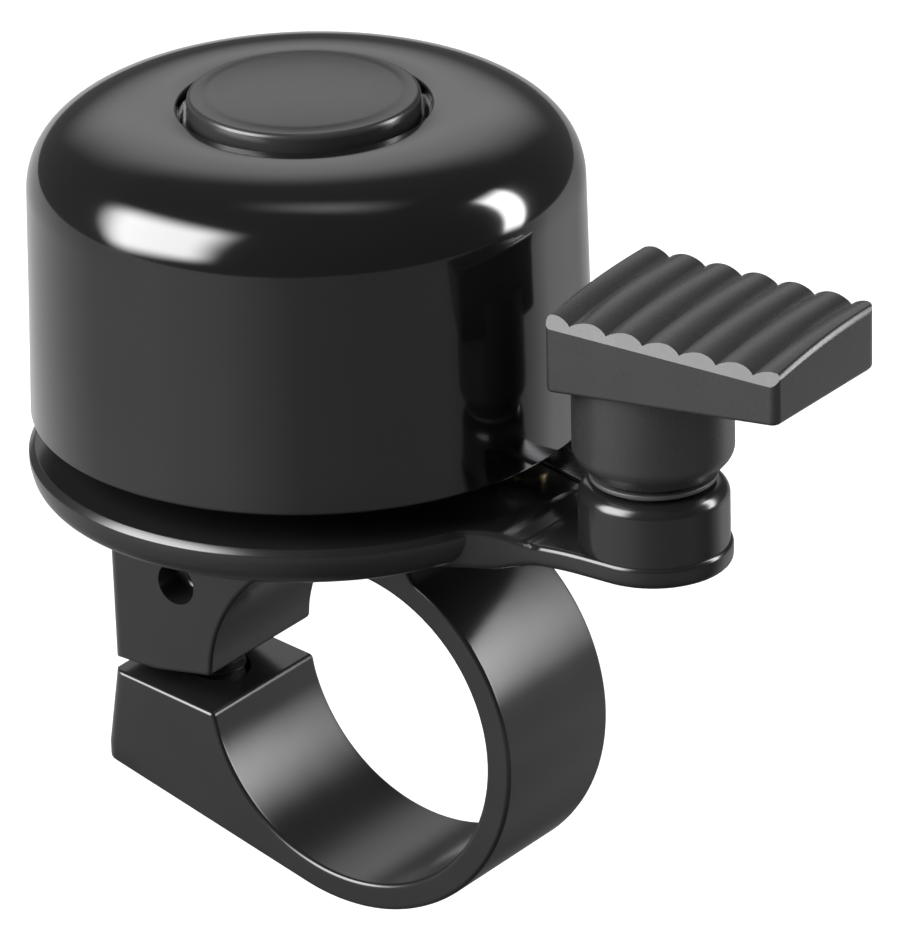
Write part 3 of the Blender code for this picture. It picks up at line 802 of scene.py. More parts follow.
@dataclass
class BaseCasting:
    """Base plate, ear with the lever boss, centre post, strap and clamp lugs, in one casting."""

    plate_radius: float = 18.5
    plate_top: float = 17.25
    plate_bottom: float = 14.5
    plate_bevel: float = 0.4
    under_round: float = 1.7
    ear_half_width: float = 5.03
    ear_root: Point = (9.0, 8.2)
    ear_flare_x: float = 18.3
    ear_top: float = 16.6
    ear_bottom: float = 15.1
    ear_ramp: Point = (11.8, 15.2)
    ear_top_bevel: float = 0.34
    ear_bottom_round: float = 0.45
    boss_radius: float = 4.84
    boss_top: float = 20.6
    boss_round: float = 0.95
    bar_radius: float = 11.1
    strap_radius: float = 12.92
    half_width: float = 5.56
    lug_top_x: float = -19.6
    lug_split_x: float = -19.3
    lug_foot_x: float = -20.15
    lug_slope_deg: float = 16.7
    lug_foot_round: float = 1.3
    lug_side_round: float = 1.1
    edge_round: float = 0.3
    clamp_seat: float = -5.0

    def __post_init__(self) -> None:
        """Find the axes that the casting is built on."""
        low, high = box_mm("dome")
        self.dome_x = (low.x + high.x) / 2
        self.lever_x = axis_mm("lever_turn").x
        self.clamp_x = axis_mm("clamp_screw_turn").x

    def plate(self) -> Object:
        """Turn the base plate, with its bevelled top edge and rounded foot."""
        radius, bevel = self.plate_radius, self.plate_bevel
        foot = arc((radius - 1.8, self.plate_bottom + self.under_round), self.under_round, -86, -8, 12)
        outline = [(0.0, self.plate_bottom), (radius - 2.9, self.plate_bottom)] + foot
        outline += rounded([(radius - 0.02, self.plate_top - 0.9), (radius, self.plate_top - bevel, 0.12),
                            (radius - bevel, self.plate_top, 0.12), (0.0, self.plate_top)], steps=3)
        return Bench.lathe("cast_base", outline, (self.dome_x, 0.0), 192)

    def neck_half_width(self, x: float) -> float:
        """Half the neck's width, which grows from the round end towards the plate."""
        root_x, root_half = self.ear_root
        reach = max(self.ear_flare_x - x, 0.0) / (self.ear_flare_x - root_x)
        return self.ear_half_width + (root_half - self.ear_half_width) * reach ** 2

    def ear(self) -> Object:
        """Neck and round end under the boss, with soft edges and a small step down."""
        root_x = self.ear_root[0]
        steps = 24
        xs = [root_x + (self.ear_flare_x - root_x) * i / steps for i in range(steps + 1)]
        half = [(x, self.neck_half_width(x)) for x in xs]
        half += arc((self.lever_x, 0.0), self.ear_half_width, 90, 0, 36)
        outline = half + [(x, -y) for x, y in half[-2::-1]]
        ear = Bench.prism("ear", outline, self.plate_bottom, self.plate_top)
        clear_of_root = root_x + NEAR_MM
        Bench.round_edges(ear, self.ear_top_bevel, 3, lambda a, b: (
            min(a.z, b.z) > self.plate_top - NEAR_MM and max(a.x, b.x) > clear_of_root))
        Bench.round_edges(ear, self.ear_bottom_round, 5, lambda a, b: (
            max(a.z, b.z) < self.plate_bottom + NEAR_MM and max(a.x, b.x) > clear_of_root))
        self.step_down(ear)
        return ear

    def step_down(self, ear: Object) -> None:
        """Lower the ear's top and raise its underside along a short ramp."""
        start, end = self.ear_ramp
        slices = 8
        middle = (self.plate_top + self.plate_bottom) / 2
        for i in range(slices + 1):
            x = start + (end - start) * i / slices
            Bench.bisect(ear, Vector((x, 0.0, 0.0)), Vector((1.0, 0.0, 0.0)), drop=False)
        for i in range(1, slices + 1):
            x = start + (end - start) * i / slices - 0.001
            share = math.sin(math.pi * (i - 0.5) / slices) * math.pi / (2 * slices)
            drop = (self.ear_top - self.plate_top) * share
            Bench.shift_points(ear, drop, lambda p: p.x > x and p.z > middle)
            rise = (self.ear_bottom - self.plate_bottom) * share
            Bench.shift_points(ear, rise, lambda p: p.x > x and p.z < middle)
        bpy.ops.object.mode_set(mode="OBJECT")

    def boss(self) -> Object:
        """Turn the lever boss with its round shoulder."""
        foot = self.ear_bottom + 0.2
        outline = rounded([(0.0, foot), (self.boss_radius, foot),
                           (self.boss_radius, self.boss_top, self.boss_round), (0.0, self.boss_top)],
                          steps=10)
        return Bench.lathe("boss", outline, (self.lever_x, 0.0), 96)

    def post(self) -> Object:
        """Turn the hollow post under the dome's crown."""
        outline = rounded([(0.0, 16.0), (5.2, 16.0), (5.2, self.plate_top), (3.8, self.plate_top, 1.2),
                           (3.2, 34.9, 0.3), (0.0, 34.9)], steps=5)
        return Bench.lathe("post", outline, (self.dome_x, 0.0), 64)

    def clamp(self) -> Object:
        """Strap, saddle and both lugs, with the bore and the split, and softened edges."""
        slope = math.radians(self.lug_slope_deg)
        tangent_deg = 270.0 - self.lug_slope_deg
        tangent = arc((0.0, 0.0), self.strap_radius, tangent_deg, tangent_deg, 1)[0]
        foot_x = self.lug_foot_x + self.lug_foot_round
        foot_z = tangent[1] + (tangent[0] - foot_x) * math.tan(slope) + self.lug_foot_round / math.cos(slope)
        top = self.plate_bottom + 1.0
        saddle_deg = 424.0
        saddle_x = self.strap_radius * math.cos(math.radians(saddle_deg)) - 0.9
        soft = self.edge_round + 0.1
        outline = arc((0.0, 0.0), self.bar_radius, 196.6, 530.8, 146)
        outline += rounded([outline[-1], (-11.06, 0.62, soft), (-15.6, -0.05, 3.0), (-17.6, 0.0, 1.0),
                            (self.lug_split_x, 0.06, soft), (self.lug_top_x, top)], steps=5)[1:]
        outline += [(saddle_x, top), (saddle_x, 13.4), (saddle_x + 0.2, 12.6)]
        outline += arc((0.0, 0.0), self.strap_radius, saddle_deg, tangent_deg, 96)
        outline += arc((foot_x, foot_z), self.lug_foot_round, tangent_deg, 188, 10)
        outline += rounded([(self.lug_foot_x, foot_z), (self.lug_split_x, -0.86, soft),
                            (-10.9, -2.04, soft), outline[0]], steps=5)[1:-1]
        clamp = Bench.prism("clamp", outline, -self.half_width, self.half_width, Along.Y)
        self.soften_strap(clamp)
        return Bench.boolean(clamp, [self.lug_mask(foot_z)], "INTERSECT")

    def lug_mask(self, foot_z: float) -> Object:
        """Shape that rounds the upright corners at the lugs' outer ends.

        Args:
            foot_z: Height at which the lower lug's foot starts to curve in.

        Returns:
            A prism around the clamp whose end follows the lugs' and has rounded corners.
        """
        side, far = self.half_width + 0.5, self.strap_radius + 2.0
        ends = [(-self.strap_radius - 1.0, self.lug_foot_x), (foot_z, self.lug_foot_x),
                (-0.86, self.lug_split_x), (0.06, self.lug_split_x),
                (self.plate_bottom + 2.0, self.lug_top_x)]
        low, end = ends[0]
        inside = end + NEAR_MM
        corner = self.lug_side_round
        half = self.half_width - NEAR_MM
        outline = rounded([(inside, -half, corner), (inside + 3.0, -half, 2.0),
                           (inside + 4.0, -side), (far, -side), (far, side), (inside + 4.0, side),
                           (inside + 3.0, half, 2.0), (inside, half, corner)], True, 8)
        mask = Bench.draw_face("lug_mask", [Vector((x, y, low)) for x, y in outline])
        for (z, x), (next_z, next_x) in zip(ends, ends[1:]):
            Bench.push(Vector((next_x - x, 0.0, next_z - z)))
        Bench.close_mesh()
        return mask

    def soften_strap(self, clamp: Object) -> None:
        """Round the strap's and the split's sharp edges, all but those inside the plate."""
        limit = self.plate_bottom + 0.6
        side = self.half_width - NEAR_MM
        Bench.round_edges(clamp, self.edge_round, 4, lambda a, b: (
            max(a.z, b.z) < limit and abs(a.y - b.y) < NEAR_MM and min(abs(a.y), abs(b.y)) > side), 35.0,
                          limit=False)

    def cutters(self) -> list[Object]:
        """Shapes that open the holes, seats and pockets."""
        clamp_at, lever_at = (self.clamp_x, 0.0), (self.lever_x, 0.0)
        nut_half, reach = 3.6, 8.0
        window = [lever_at] + arc(lever_at, reach, 139.0, 218.0, 16)
        core = rounded([(0.0, -self.half_width - 1.0), (1.45, -self.half_width - 1.0),
                        (1.45, -self.half_width + 2.4, 0.6), (0.0, -self.half_width + 2.4)], steps=6)
        counterbore = [(0.0, -14.0), (3.4, -14.0), (3.4, self.clamp_seat), (0.0, self.clamp_seat)]
        return [
            Bench.lathe("clamp_hole", self.rod(2.3, -14.0, 16.0), clamp_at, 48),
            Bench.lathe("counterbore", counterbore, clamp_at, 64),
            Bench.block("nut_pocket", (self.clamp_x - nut_half, -nut_half, 14.2),
                        (self.clamp_x + nut_half, nut_half, self.plate_top + 1.0)),
            Bench.lathe("core_hole", core, (-13.6, 6.7), 48, along=Along.Y),
            Bench.lathe("cavity", self.rod(3.8, 17.0, 19.3), lever_at, 64),
            Bench.prism("window", window, 17.0, 19.3),
            Bench.lathe("bush_seat", self.rod(3.5, 19.2, 22.2), lever_at, 64),
            Bench.lathe("pivot_hole", self.rod(1.1, 14.0, 17.1), lever_at, 32),
            Bench.lathe("pivot_recess", self.rod(2.8, 14.0, 15.8), lever_at, 48),
            Bench.lathe("post_hole", self.rod(1.8, 24.0, 36.0), (self.dome_x, 0.0), 32),
        ]

    @staticmethod
    def rod(radius: float, low: float, high: float) -> list[Point]:
        """Outline of a plain round cutter."""
        return [(0.0, low), (radius, low), (radius, high), (0.0, high)]

    def build(self, finish: Material) -> None:
        """Model the casting and put it in place."""
        casting = self.plate()
        Bench.join(casting, self.ear(), self.boss(), self.post(), self.clamp())
        Bench.cut(casting, *self.cutters())
        Bench.smooth(casting, 32.0, weighted=True)
        fit(casting, finish, Body.BASE, "base_casting")


# ---------------------------------------------------------------- dome and its fixing

@dataclass
class Dome:
    """The bell: a pressed cup with a recessed crown, its cap and what fixes it."""

    wall_top: Point = (17.94, 34.7)
    shoulder: Point = (8.4, 5.6)
    shoulder_power: float = 2.3
    thickness: float = 1.0
    lip: Point = (8.2, 40.2)
    recess_floor: float = 38.2
    hole_radius: float = 1.8
    rim_round: float = 0.32
    cap_radius: float = 7.5
    cap_edge_round: float = 0.35
    cap_edge_z: float = 41.07

    def __post_init__(self) -> None:
        """Find the dome's axis, rim and cap."""
        low, high = box_mm("dome")
        self.at = ((low.x + high.x) / 2, 0.0)
        self.rim = ((high.x - low.x) / 2, low.z)
        cap_low, cap_high = box_mm("top_cap")
        self.cap_bottom, self.cap_crown = cap_low.z, cap_high.z

    def shoulder_points(self, inset: float, steps: int) -> list[Point]:
        """The shoulder's curve from the wall to the crown, this far inside the outer skin."""
        inward, upward = self.shoulder
        power = 2.0 / self.shoulder_power
        points = []
        for i in range(steps + 1):
            turn = math.pi / 2 * i / steps
            r = self.wall_top[0] - inward + (inward - inset) * math.cos(turn) ** power
            z = self.wall_top[1] + (upward - inset) * math.sin(turn) ** power
            points.append((r, z))
        return points

    def shell(self) -> Object:
        """Turn the bell's wall, shoulder, lip, recess and rolled rim."""
        rim_r, rim_z = self.rim
        wall = self.thickness
        outer = [(rim_r, rim_z, self.rim_round), (18.08, 27.0)]
        outline = rounded([(rim_r - wall + 0.5, rim_z)] + outer, steps=5)[1:]
        outline += self.shoulder_points(0.0, 30)
        under = self.recess_floor - wall
        lip_r, lip_z = self.lip
        outline += rounded([(9.5, 40.3), (lip_r - 0.02, lip_z, 0.22),
                            (lip_r - 0.35, self.recess_floor, 0.3),
                            (self.hole_radius, self.recess_floor, 0.1),
                            (self.hole_radius, under)], steps=5)[1:]
        outline += [(lip_r - 0.2, under)]
        outline += self.shoulder_points(wall, 18)[::-1]
        outline += rounded([(17.1, 30.0), (rim_r - wall, rim_z, self.rim_round),
                            (rim_r - 0.5, rim_z)], steps=5)[1:-1]
        return Bench.lathe("bell_dome", outline, self.at, 192, ring=True)

    def cap(self) -> Object:
        """Turn the cap, slightly crowned, with a hexagonal pocket under it."""
        flat_r = self.cap_radius - self.cap_edge_round
        rise = self.cap_crown - self.cap_edge_z
        outline = rounded([(0.0, self.cap_bottom), (self.cap_radius, self.cap_bottom, 0.2),
                           (self.cap_radius, self.cap_edge_z, self.cap_edge_round),
                           (flat_r - 0.5, self.cap_edge_z + 0.01)], steps=8)
        crown = 20
        for i in range(crown - 1, -1, -1):
            r = (flat_r - 0.4) * i / crown
            outline.append((r, self.cap_crown - rise * (r / flat_r) ** 2.6))
        cap = Bench.lathe("crown_cap", outline, self.at, 128)
        pocket = [(0.0, self.cap_bottom - 1.0), (3.05, self.cap_bottom - 1.0), (3.05, 40.75), (0.0, 40.75)]
        return Bench.cut(cap, Bench.lathe("cap_pocket", pocket, self.at, 6))

    def screw(self) -> Object:
        """Hexagon head moulded into the cap, over a threaded shank."""
        low, high = 25.0, 40.4
        head = rounded([(0.0, high - 1.1), (2.75, high - 1.1, 0.12), (2.75, high, 0.12),
                        (0.0, high)], steps=2)
        screw = Bench.lathe("cap_fixing_screw", head, self.at, 6)
        shank = [(0.0, low), (1.1, low)] + thread_flanks(1.5, 0.5, low + 0.2, 35.0)
        shank += [(1.42, 35.4), (1.42, high - 0.5), (0.0, high - 0.5)]
        return Bench.join(screw, Bench.lathe("cap_shank", shank, self.at, 32))

    def washer(self) -> Object:
        """Plain washer with broken edges, between the cap and the dome."""
        return Bench.washer("crown_plain_washer", "crown_washer", self.at,
                            (self.hole_radius, 0.06), (5.5, 0.1))

    def seat(self) -> Object:
        """Rubber ring that keeps the dome off the post."""
        low, high = box_mm("dome_seat")
        middle = (low.z + high.z) / 2
        corners = [(1.8, low.z, 0.1), (4.5, low.z, 0.35), (4.5, middle - 0.3), (4.25, middle, 0.3),
                   (4.5, middle + 0.3), (4.5, high.z, 0.35), (1.8, high.z, 0.1)]
        return Bench.lathe("rubber_dome_seat", rounded(corners, True, 5), self.at, 64, ring=True)

    def build(self, enamel: Material, plastic: Material, steel: Material, rubber: Material) -> None:
        """Model the dome, its cap and its fixing, and put them in place."""
        fit(Bench.smooth(self.shell(), 40.0), enamel, Body.BASE, "dome")
        fit(Bench.smooth(self.cap(), 40.0), plastic, Body.BASE, "top_cap")
        fit(Bench.smooth(self.screw()), steel, Body.BASE, "cap_screw")
        fit(Bench.smooth(self.washer()), steel, Body.BASE, "crown_washer")
        fit(Bench.smooth(self.seat(), 50.0), rubber, Body.BASE, "dome_seat")


# ---------------------------------------------------------------- clamp fixings

@dataclass
class ClampFixings:
    """Socket screw, washers and square nut that draw the clamp together."""

    hole_radius: float = 2.3
    thread_pitch: float = 0.7
    socket_radius: float = 1.7
    socket_depth: float = 1.2
    around: int = 48

    def __post_init__(self) -> None:
        """Find the screw's axis."""
        self.at = (axis_mm("clamp_screw_turn").x, 0.0)

    def screw(self) -> Object:
        """Socket head over a threaded shank."""
        low, high = box_mm("clamp_screw")
        head_top = low.z + 1.8
        head = rounded([(0.0, low.z), (3.0, low.z, 0.3), (3.0, head_top, 0.1), (2.0, head_top),
                        (2.0, head_top + 2.0)], steps=4)
        outline = head + thread_flanks(2.0, self.thread_pitch, head_top + 2.2, high.z - 0.4)
        outline += [(1.5, high.z), (0.0, high.z)]
        screw = Bench.lathe("clamp_socket_screw", outline, self.at, self.around)
        self.knurl(screw, low.z, head_top)
        bottom, top = low.z - 1.0, low.z + self.socket_depth
        mouth = self.socket_radius + 0.2
        socket = [(0.0, bottom), (mouth, bottom), (mouth, low.z), (self.socket_radius, low.z + 0.2),
                  (self.socket_radius, top), (0.0, top + 0.4)]
        return Bench.cut(screw, Bench.lathe("hex_socket", socket, self.at, 6))

    def knurl(self, screw: Object, low: float, high: float) -> None:
        """Press every other side face of the head in a little."""
        def pressed(face: bpy.types.MeshPolygon) -> bool:
            """True of every other face on the head's side."""
            place = face.center / MM
            offset = Vector((place.x - self.at[0], place.y))
            turn = math.atan2(offset.y, offset.x) / math.tau * self.around
            on_side = abs(face.normal.z) < 0.1 and low < place.z < high and offset.length > 2.9
            return on_side and int(math.floor(turn)) % 2 == 0

        Bench.pick(screw, Part.FACE, pressed)
        bpy.ops.mesh.inset(thickness=0.05 * MM, depth=-0.06 * MM, use_individual=True)
        bpy.ops.object.mode_set(mode="OBJECT")

    def washer(self) -> Object:
        """Plain washer under the screw's head."""
        return Bench.washer("clamp_plain_washer", "clamp_washer", self.at,
                            (self.hole_radius, 0.05), (3.05, 0.1))

    def spring_washer(self) -> Object:
        """Split washer, cut through on a slant."""
        low, high = box_mm("clamp_lock_washer")
        washer = Bench.washer("clamp_spring_washer", "clamp_lock_washer", self.at,
                              (self.hole_radius, 0.06), (2.9, 0.1))
        x = self.at[0]
        slit = Bench.block("slit", (x + 1.0, -0.3, low.z - 1.0), (x + 4.0, 0.3, high.z + 1.0))
        return Bench.cut(washer, slit)

    def nut(self) -> Object:
        """Square nut with broken corners and a countersunk threaded hole."""
        low, high = box_mm("clamp_nut")
        nut = Bench.block("clamp_square_nut", low, high)
        Bench.round_edges(nut, 0.25, 3, lambda a, b: abs(a.z - b.z) > 1.0)
        hole_r = self.hole_radius + 0.02
        hole = [(0.0, low.z - 1.0), (2.9, low.z - 1.0), (2.9, low.z - 0.01), (hole_r, low.z + 0.5),
                (hole_r, high.z - 0.5), (2.9, high.z + 0.01), (2.9, high.z + 1.0), (0.0, high.z + 1.0)]
        return Bench.cut(nut, Bench.lathe("nut_hole", hole, self.at, 48))

    def build(self, black_steel: Material, zinc: Material) -> None:
        """Model the fixings and put them in place."""
        fit(Bench.smooth(self.screw()), black_steel, Body.CLAMP_SCREW, "clamp_screw")
        fit(Bench.smooth(self.washer()), zinc, Body.BASE, "clamp_washer")
        fit(Bench.smooth(self.spring_washer()), zinc, Body.BASE, "clamp_lock_washer")
        fit(Bench.smooth(self.nut()), zinc, Body.BASE, "clamp_nut")


# ---------------------------------------------------------------- thumb lever

@dataclass
class ThumbLever:
    """Ribbed pad and barrel in one moulding, with the spigot that turns in the boss."""

    barrel_radius: float = 5.16
    foot_radius: float = 4.15
    spring_room: Point = (3.5, 26.4)
    spigot_radius: float = 2.2
    spigot_square: float = 3.0
    square_top: float = 19.25
    bore: Point = (1.1, 24.5)
    pad_x: Point = (16.3, 33.8)
    pad_half_width: float = 5.7
    pad_bottom: Point = (27.6, 29.4)
    bevel: float = 0.75
    bevel_low: float = 32.0
    crest_front: float = 32.6
    crest_back: float = 33.65
    crest_swell: float = 0.28
    rib_pitch: float = 2.75
    rib_depth: Point = (0.3, 0.5)
    first_valley: float = 18.1
    valleys: int = 6

    def __post_init__(self) -> None:
        """Find the lever's axis and its two ends."""
        low, high = box_mm("thumb_lever")
        self.at = (axis_mm("lever_turn").x, 0.0)
        self.bottom = low.z
        self.barrel_bottom = box_mm("thrust_washer")[1].z + 0.3

    def crest_height(self, y: float) -> float:
        """Height of the ribs' crests across the pad, bowed up between its two sides."""
        across = 0.5 + 0.5 * y / self.pad_half_width
        bow = 4.0 * across * (1.0 - across)
        return self.crest_front + (self.crest_back - self.crest_front) * across + self.crest_swell * bow

    def rib_section(self) -> list[Point]:
        """Lengthwise outline of the pad at its front, with its crests at height 0."""
        x_low, x_high = self.pad_x
        per_rib, past_ends = 12, 6
        ribs = []
        for i in range(-past_ends, (self.valleys - 1) * per_rib + past_ends):
            phase = i / per_rib
            share = phase - math.floor(phase)
            height = abs(math.sin(math.pi * share)) ** 0.75
            ribs.append((self.first_valley + self.rib_pitch * phase, self.rib_depth[0] * (height - 1.0)))
        depth = 12.0
        start = rounded([(x_low, -depth), (x_low, -0.02, 0.35), ribs[0]], steps=6)
        end = rounded([ribs[-1], (x_high, -0.02, 0.9), (x_high, -depth)], steps=9)
        return start[1:-1] + ribs + end[1:] + [(x_low, -depth)]

    def pad(self) -> Object:
        """Extrude the ribbed section across the pad, then trim it to its outline."""
        front = -self.pad_half_width
        outline = [Vector((x, front, z + self.crest_height(front))) for x, z in self.rib_section()]
        pad = Bench.draw_face("pad", outline)
        spans = 14
        step = 2 * self.pad_half_width / spans
        shallow, deep = self.rib_depth
        for i in range(spans):
            y = front + i * step
            crest = self.crest_height(y + step)
            Bench.push(Vector((0.0, step, crest - self.crest_height(y))))
            here, there = [shallow + (deep - shallow) * n / spans for n in (i, i + 1)]
            growth = there / here
            bpy.ops.transform.resize(value=(1.0, 1.0, growth), center_override=(0.0, 0.0, crest * MM))
        Bench.close_mesh()
        x_low, x_high = self.pad_x
        low, high = self.pad_bottom
        slope = Vector((high - low, 0.0, x_low - x_high))
        Bench.bisect(pad, Vector((x_low, 0.0, low)), slope, drop=True)
        fall = self.crest_front + 0.18 - self.bevel_low
        Bench.bisect(pad, Vector((0.0, front, self.bevel_low)), Vector((0.0, -fall, self.bevel)), drop=True)
        return Bench.boolean(pad, [self.pad_mask()], "INTERSECT")

    def pad_mask(self) -> Object:
        """Shape that rounds the pad's upright corners."""
        x_low, x_high = self.pad_x
        half = self.pad_half_width - NEAR_MM
        left, right = x_low + NEAR_MM, x_high - NEAR_MM
        outline = rounded([(left, -half, 0.5), (right, -half, 0.55), (right, half, 0.9),
                           (left, half, 0.9)], True, 8)
        return Bench.prism("pad_mask", outline, self.pad_bottom[0] - 1.0, self.crest_back + 1.0)

    def under_edge(self, one: Vector, two: Vector) -> bool:
        """True of an edge round the pad's slanted underside."""
        low, high = self.pad_bottom
        x_low, x_high = self.pad_x
        floors = [low + (high - low) * (p.x - x_low) / (x_high - x_low) for p in (one, two)]
        return abs(one.z - floors[0]) < NEAR_MM and abs(two.z - floors[1]) < NEAR_MM

    def barrel(self) -> Object:
        """Turn the barrel, hollow for the spring, around its spigot."""
        top = self.bevel_low - 2.0
        room_r, room_top = self.spring_room
        outline = rounded([(0.0, self.square_top), (self.spigot_radius, self.square_top, 0.15),
                           (self.spigot_radius, room_top, 0.3), (room_r, room_top, 0.3),
                           (room_r, self.barrel_bottom, 0.1), (self.foot_radius, self.barrel_bottom, 0.35),
                           (self.barrel_radius, self.barrel_bottom + 1.2, 1.2),
                           (self.barrel_radius, top), (0.0, top)], steps=8)
        return Bench.lathe("barrel", outline, self.at, 96)

    def build(self, plastic: Material) -> None:
        """Model the lever and put it in place."""
        half = self.spigot_square / 2
        x = self.at[0]
        square = Bench.block("square", (x - half, -half, self.bottom),
                             (x + half, half, self.square_top + 0.5))
        Bench.round_edges(square, 0.2, 3, lambda a, b: abs(a.z - b.z) > 1.0)
        lever = self.pad()
        Bench.round_edges(lever, 0.3, 3, self.under_edge, 50.0)
        lever.name = "lever_moulding"
        Bench.join(lever, self.barrel(), square)
        bore_r, bore_top = self.bore
        bore = BaseCasting.rod(bore_r, self.bottom - 1.0, bore_top)
        Bench.cut(lever, Bench.lathe("bore", bore, self.at, 32))
        fit(Bench.smooth(lever, 32.0, weighted=True), plastic, Body.LEVER, "thumb_lever")


@dataclass
class LeverFixings:
    """Pivot screw and washer, bush, thrust washer and return spring."""

    spigot_hole: float = 2.5
    screw_radius: float = 0.8
    coil_radius: float = 2.85
    wire_radius: float = 0.27
    turns: float = 5.5

    def __post_init__(self) -> None:
        """Find the lever's axis."""
        self.at = (axis_mm("lever_turn").x, 0.0)

    def ring_for(self, node: str, name: str, inner: float, edge: float) -> Object:
        """Turn a ring as large as its CAD node.

        Args:
            node: The CAD node that gives its height and outer radius.
            name: The new piece's name.
            inner: Radius of its hole.
            edge: Radius of its rounded edges.

        Returns:
            The ring.
        """
        low, high = box_mm(node)
        return Bench.washer(name, node, self.at, (inner, edge), ((high.x - low.x) / 2, edge))

    def screw(self) -> Object:
        """Slotted pan head under a threaded shank."""
        low, high = box_mm("pivot_screw")
        head_top = low.z + 0.95
        shank = self.screw_radius
        outline = rounded([(0.0, low.z), (1.95, low.z, 0.45), (1.95, head_top, 0.05), (shank, head_top),
                           (shank, head_top + 2.0)], steps=5)
        outline += thread_flanks(shank, 0.35, head_top + 2.1, high.z - 0.3)
        outline += [(0.5, high.z), (0.0, high.z)]
        screw = Bench.lathe("lever_pivot_screw", outline, self.at, 32)
        x = self.at[0]
        slot = Bench.block("slot", (x - 3.0, -0.25, low.z - 1.0), (x + 3.0, 0.25, low.z + 0.45))
        return Bench.cut(screw, slot)

    def spring(self) -> Object:
        """Wind the return spring as a curve, and make it a mesh."""
        per_turn = 40
        count = int(self.turns * per_turn)
        low, high = [corner.z for corner in box_mm("return_spring")]
        low, high = low + self.wire_radius, high - self.wire_radius
        curve = bpy.data.curves.new("lever_return_spring", "CURVE")
        curve.dimensions = "3D"
        curve.bevel_depth = self.wire_radius * MM
        curve.bevel_resolution = 4
        curve.use_fill_caps = True
        line = curve.splines.new("POLY")
        line.points.add(count)
        for i, point in enumerate(line.points):
            turn = math.tau * i / per_turn
            height = low + (high - low) * i / count
            place = Vector((self.at[0] + self.coil_radius * math.cos(turn),
                            self.coil_radius * math.sin(turn), height)) * MM
            point.co = (*place, 1.0)
        coil = bpy.data.objects.new("lever_return_spring", curve)
        bpy.context.scene.collection.objects.link(coil)
        Bench.choose(coil)
        bpy.ops.object.convert(target="MESH")
        return bpy.context.object

    def build(self, zinc: Material, bronze: Material, nylon: Material, spring_steel: Material) -> None:
        """Model the fixings and put them in place."""
        bush = self.ring_for("pivot_bush", "lever_pivot_bush", self.spigot_hole, 0.12)
        thrust = self.ring_for("thrust_washer", "lever_thrust_washer", self.spigot_hole, 0.08)
        washer = self.ring_for("pivot_washer", "lever_pivot_washer", 1.1, 0.06)
        fit(Bench.smooth(bush), bronze, Body.BASE, "pivot_bush")
        fit(Bench.smooth(thrust), nylon, Body.BASE, "thrust_washer")
        fit(Bench.smooth(washer), zinc, Body.LEVER, "pivot_washer")
        fit(Bench.smooth(self.screw()), zinc, Body.LEVER, "pivot_screw")
        fit(Bench.smooth(self.spring(), 60.0), spring_steel, Body.BASE, "return_spring")


# ---------------------------------------------------------------- striker

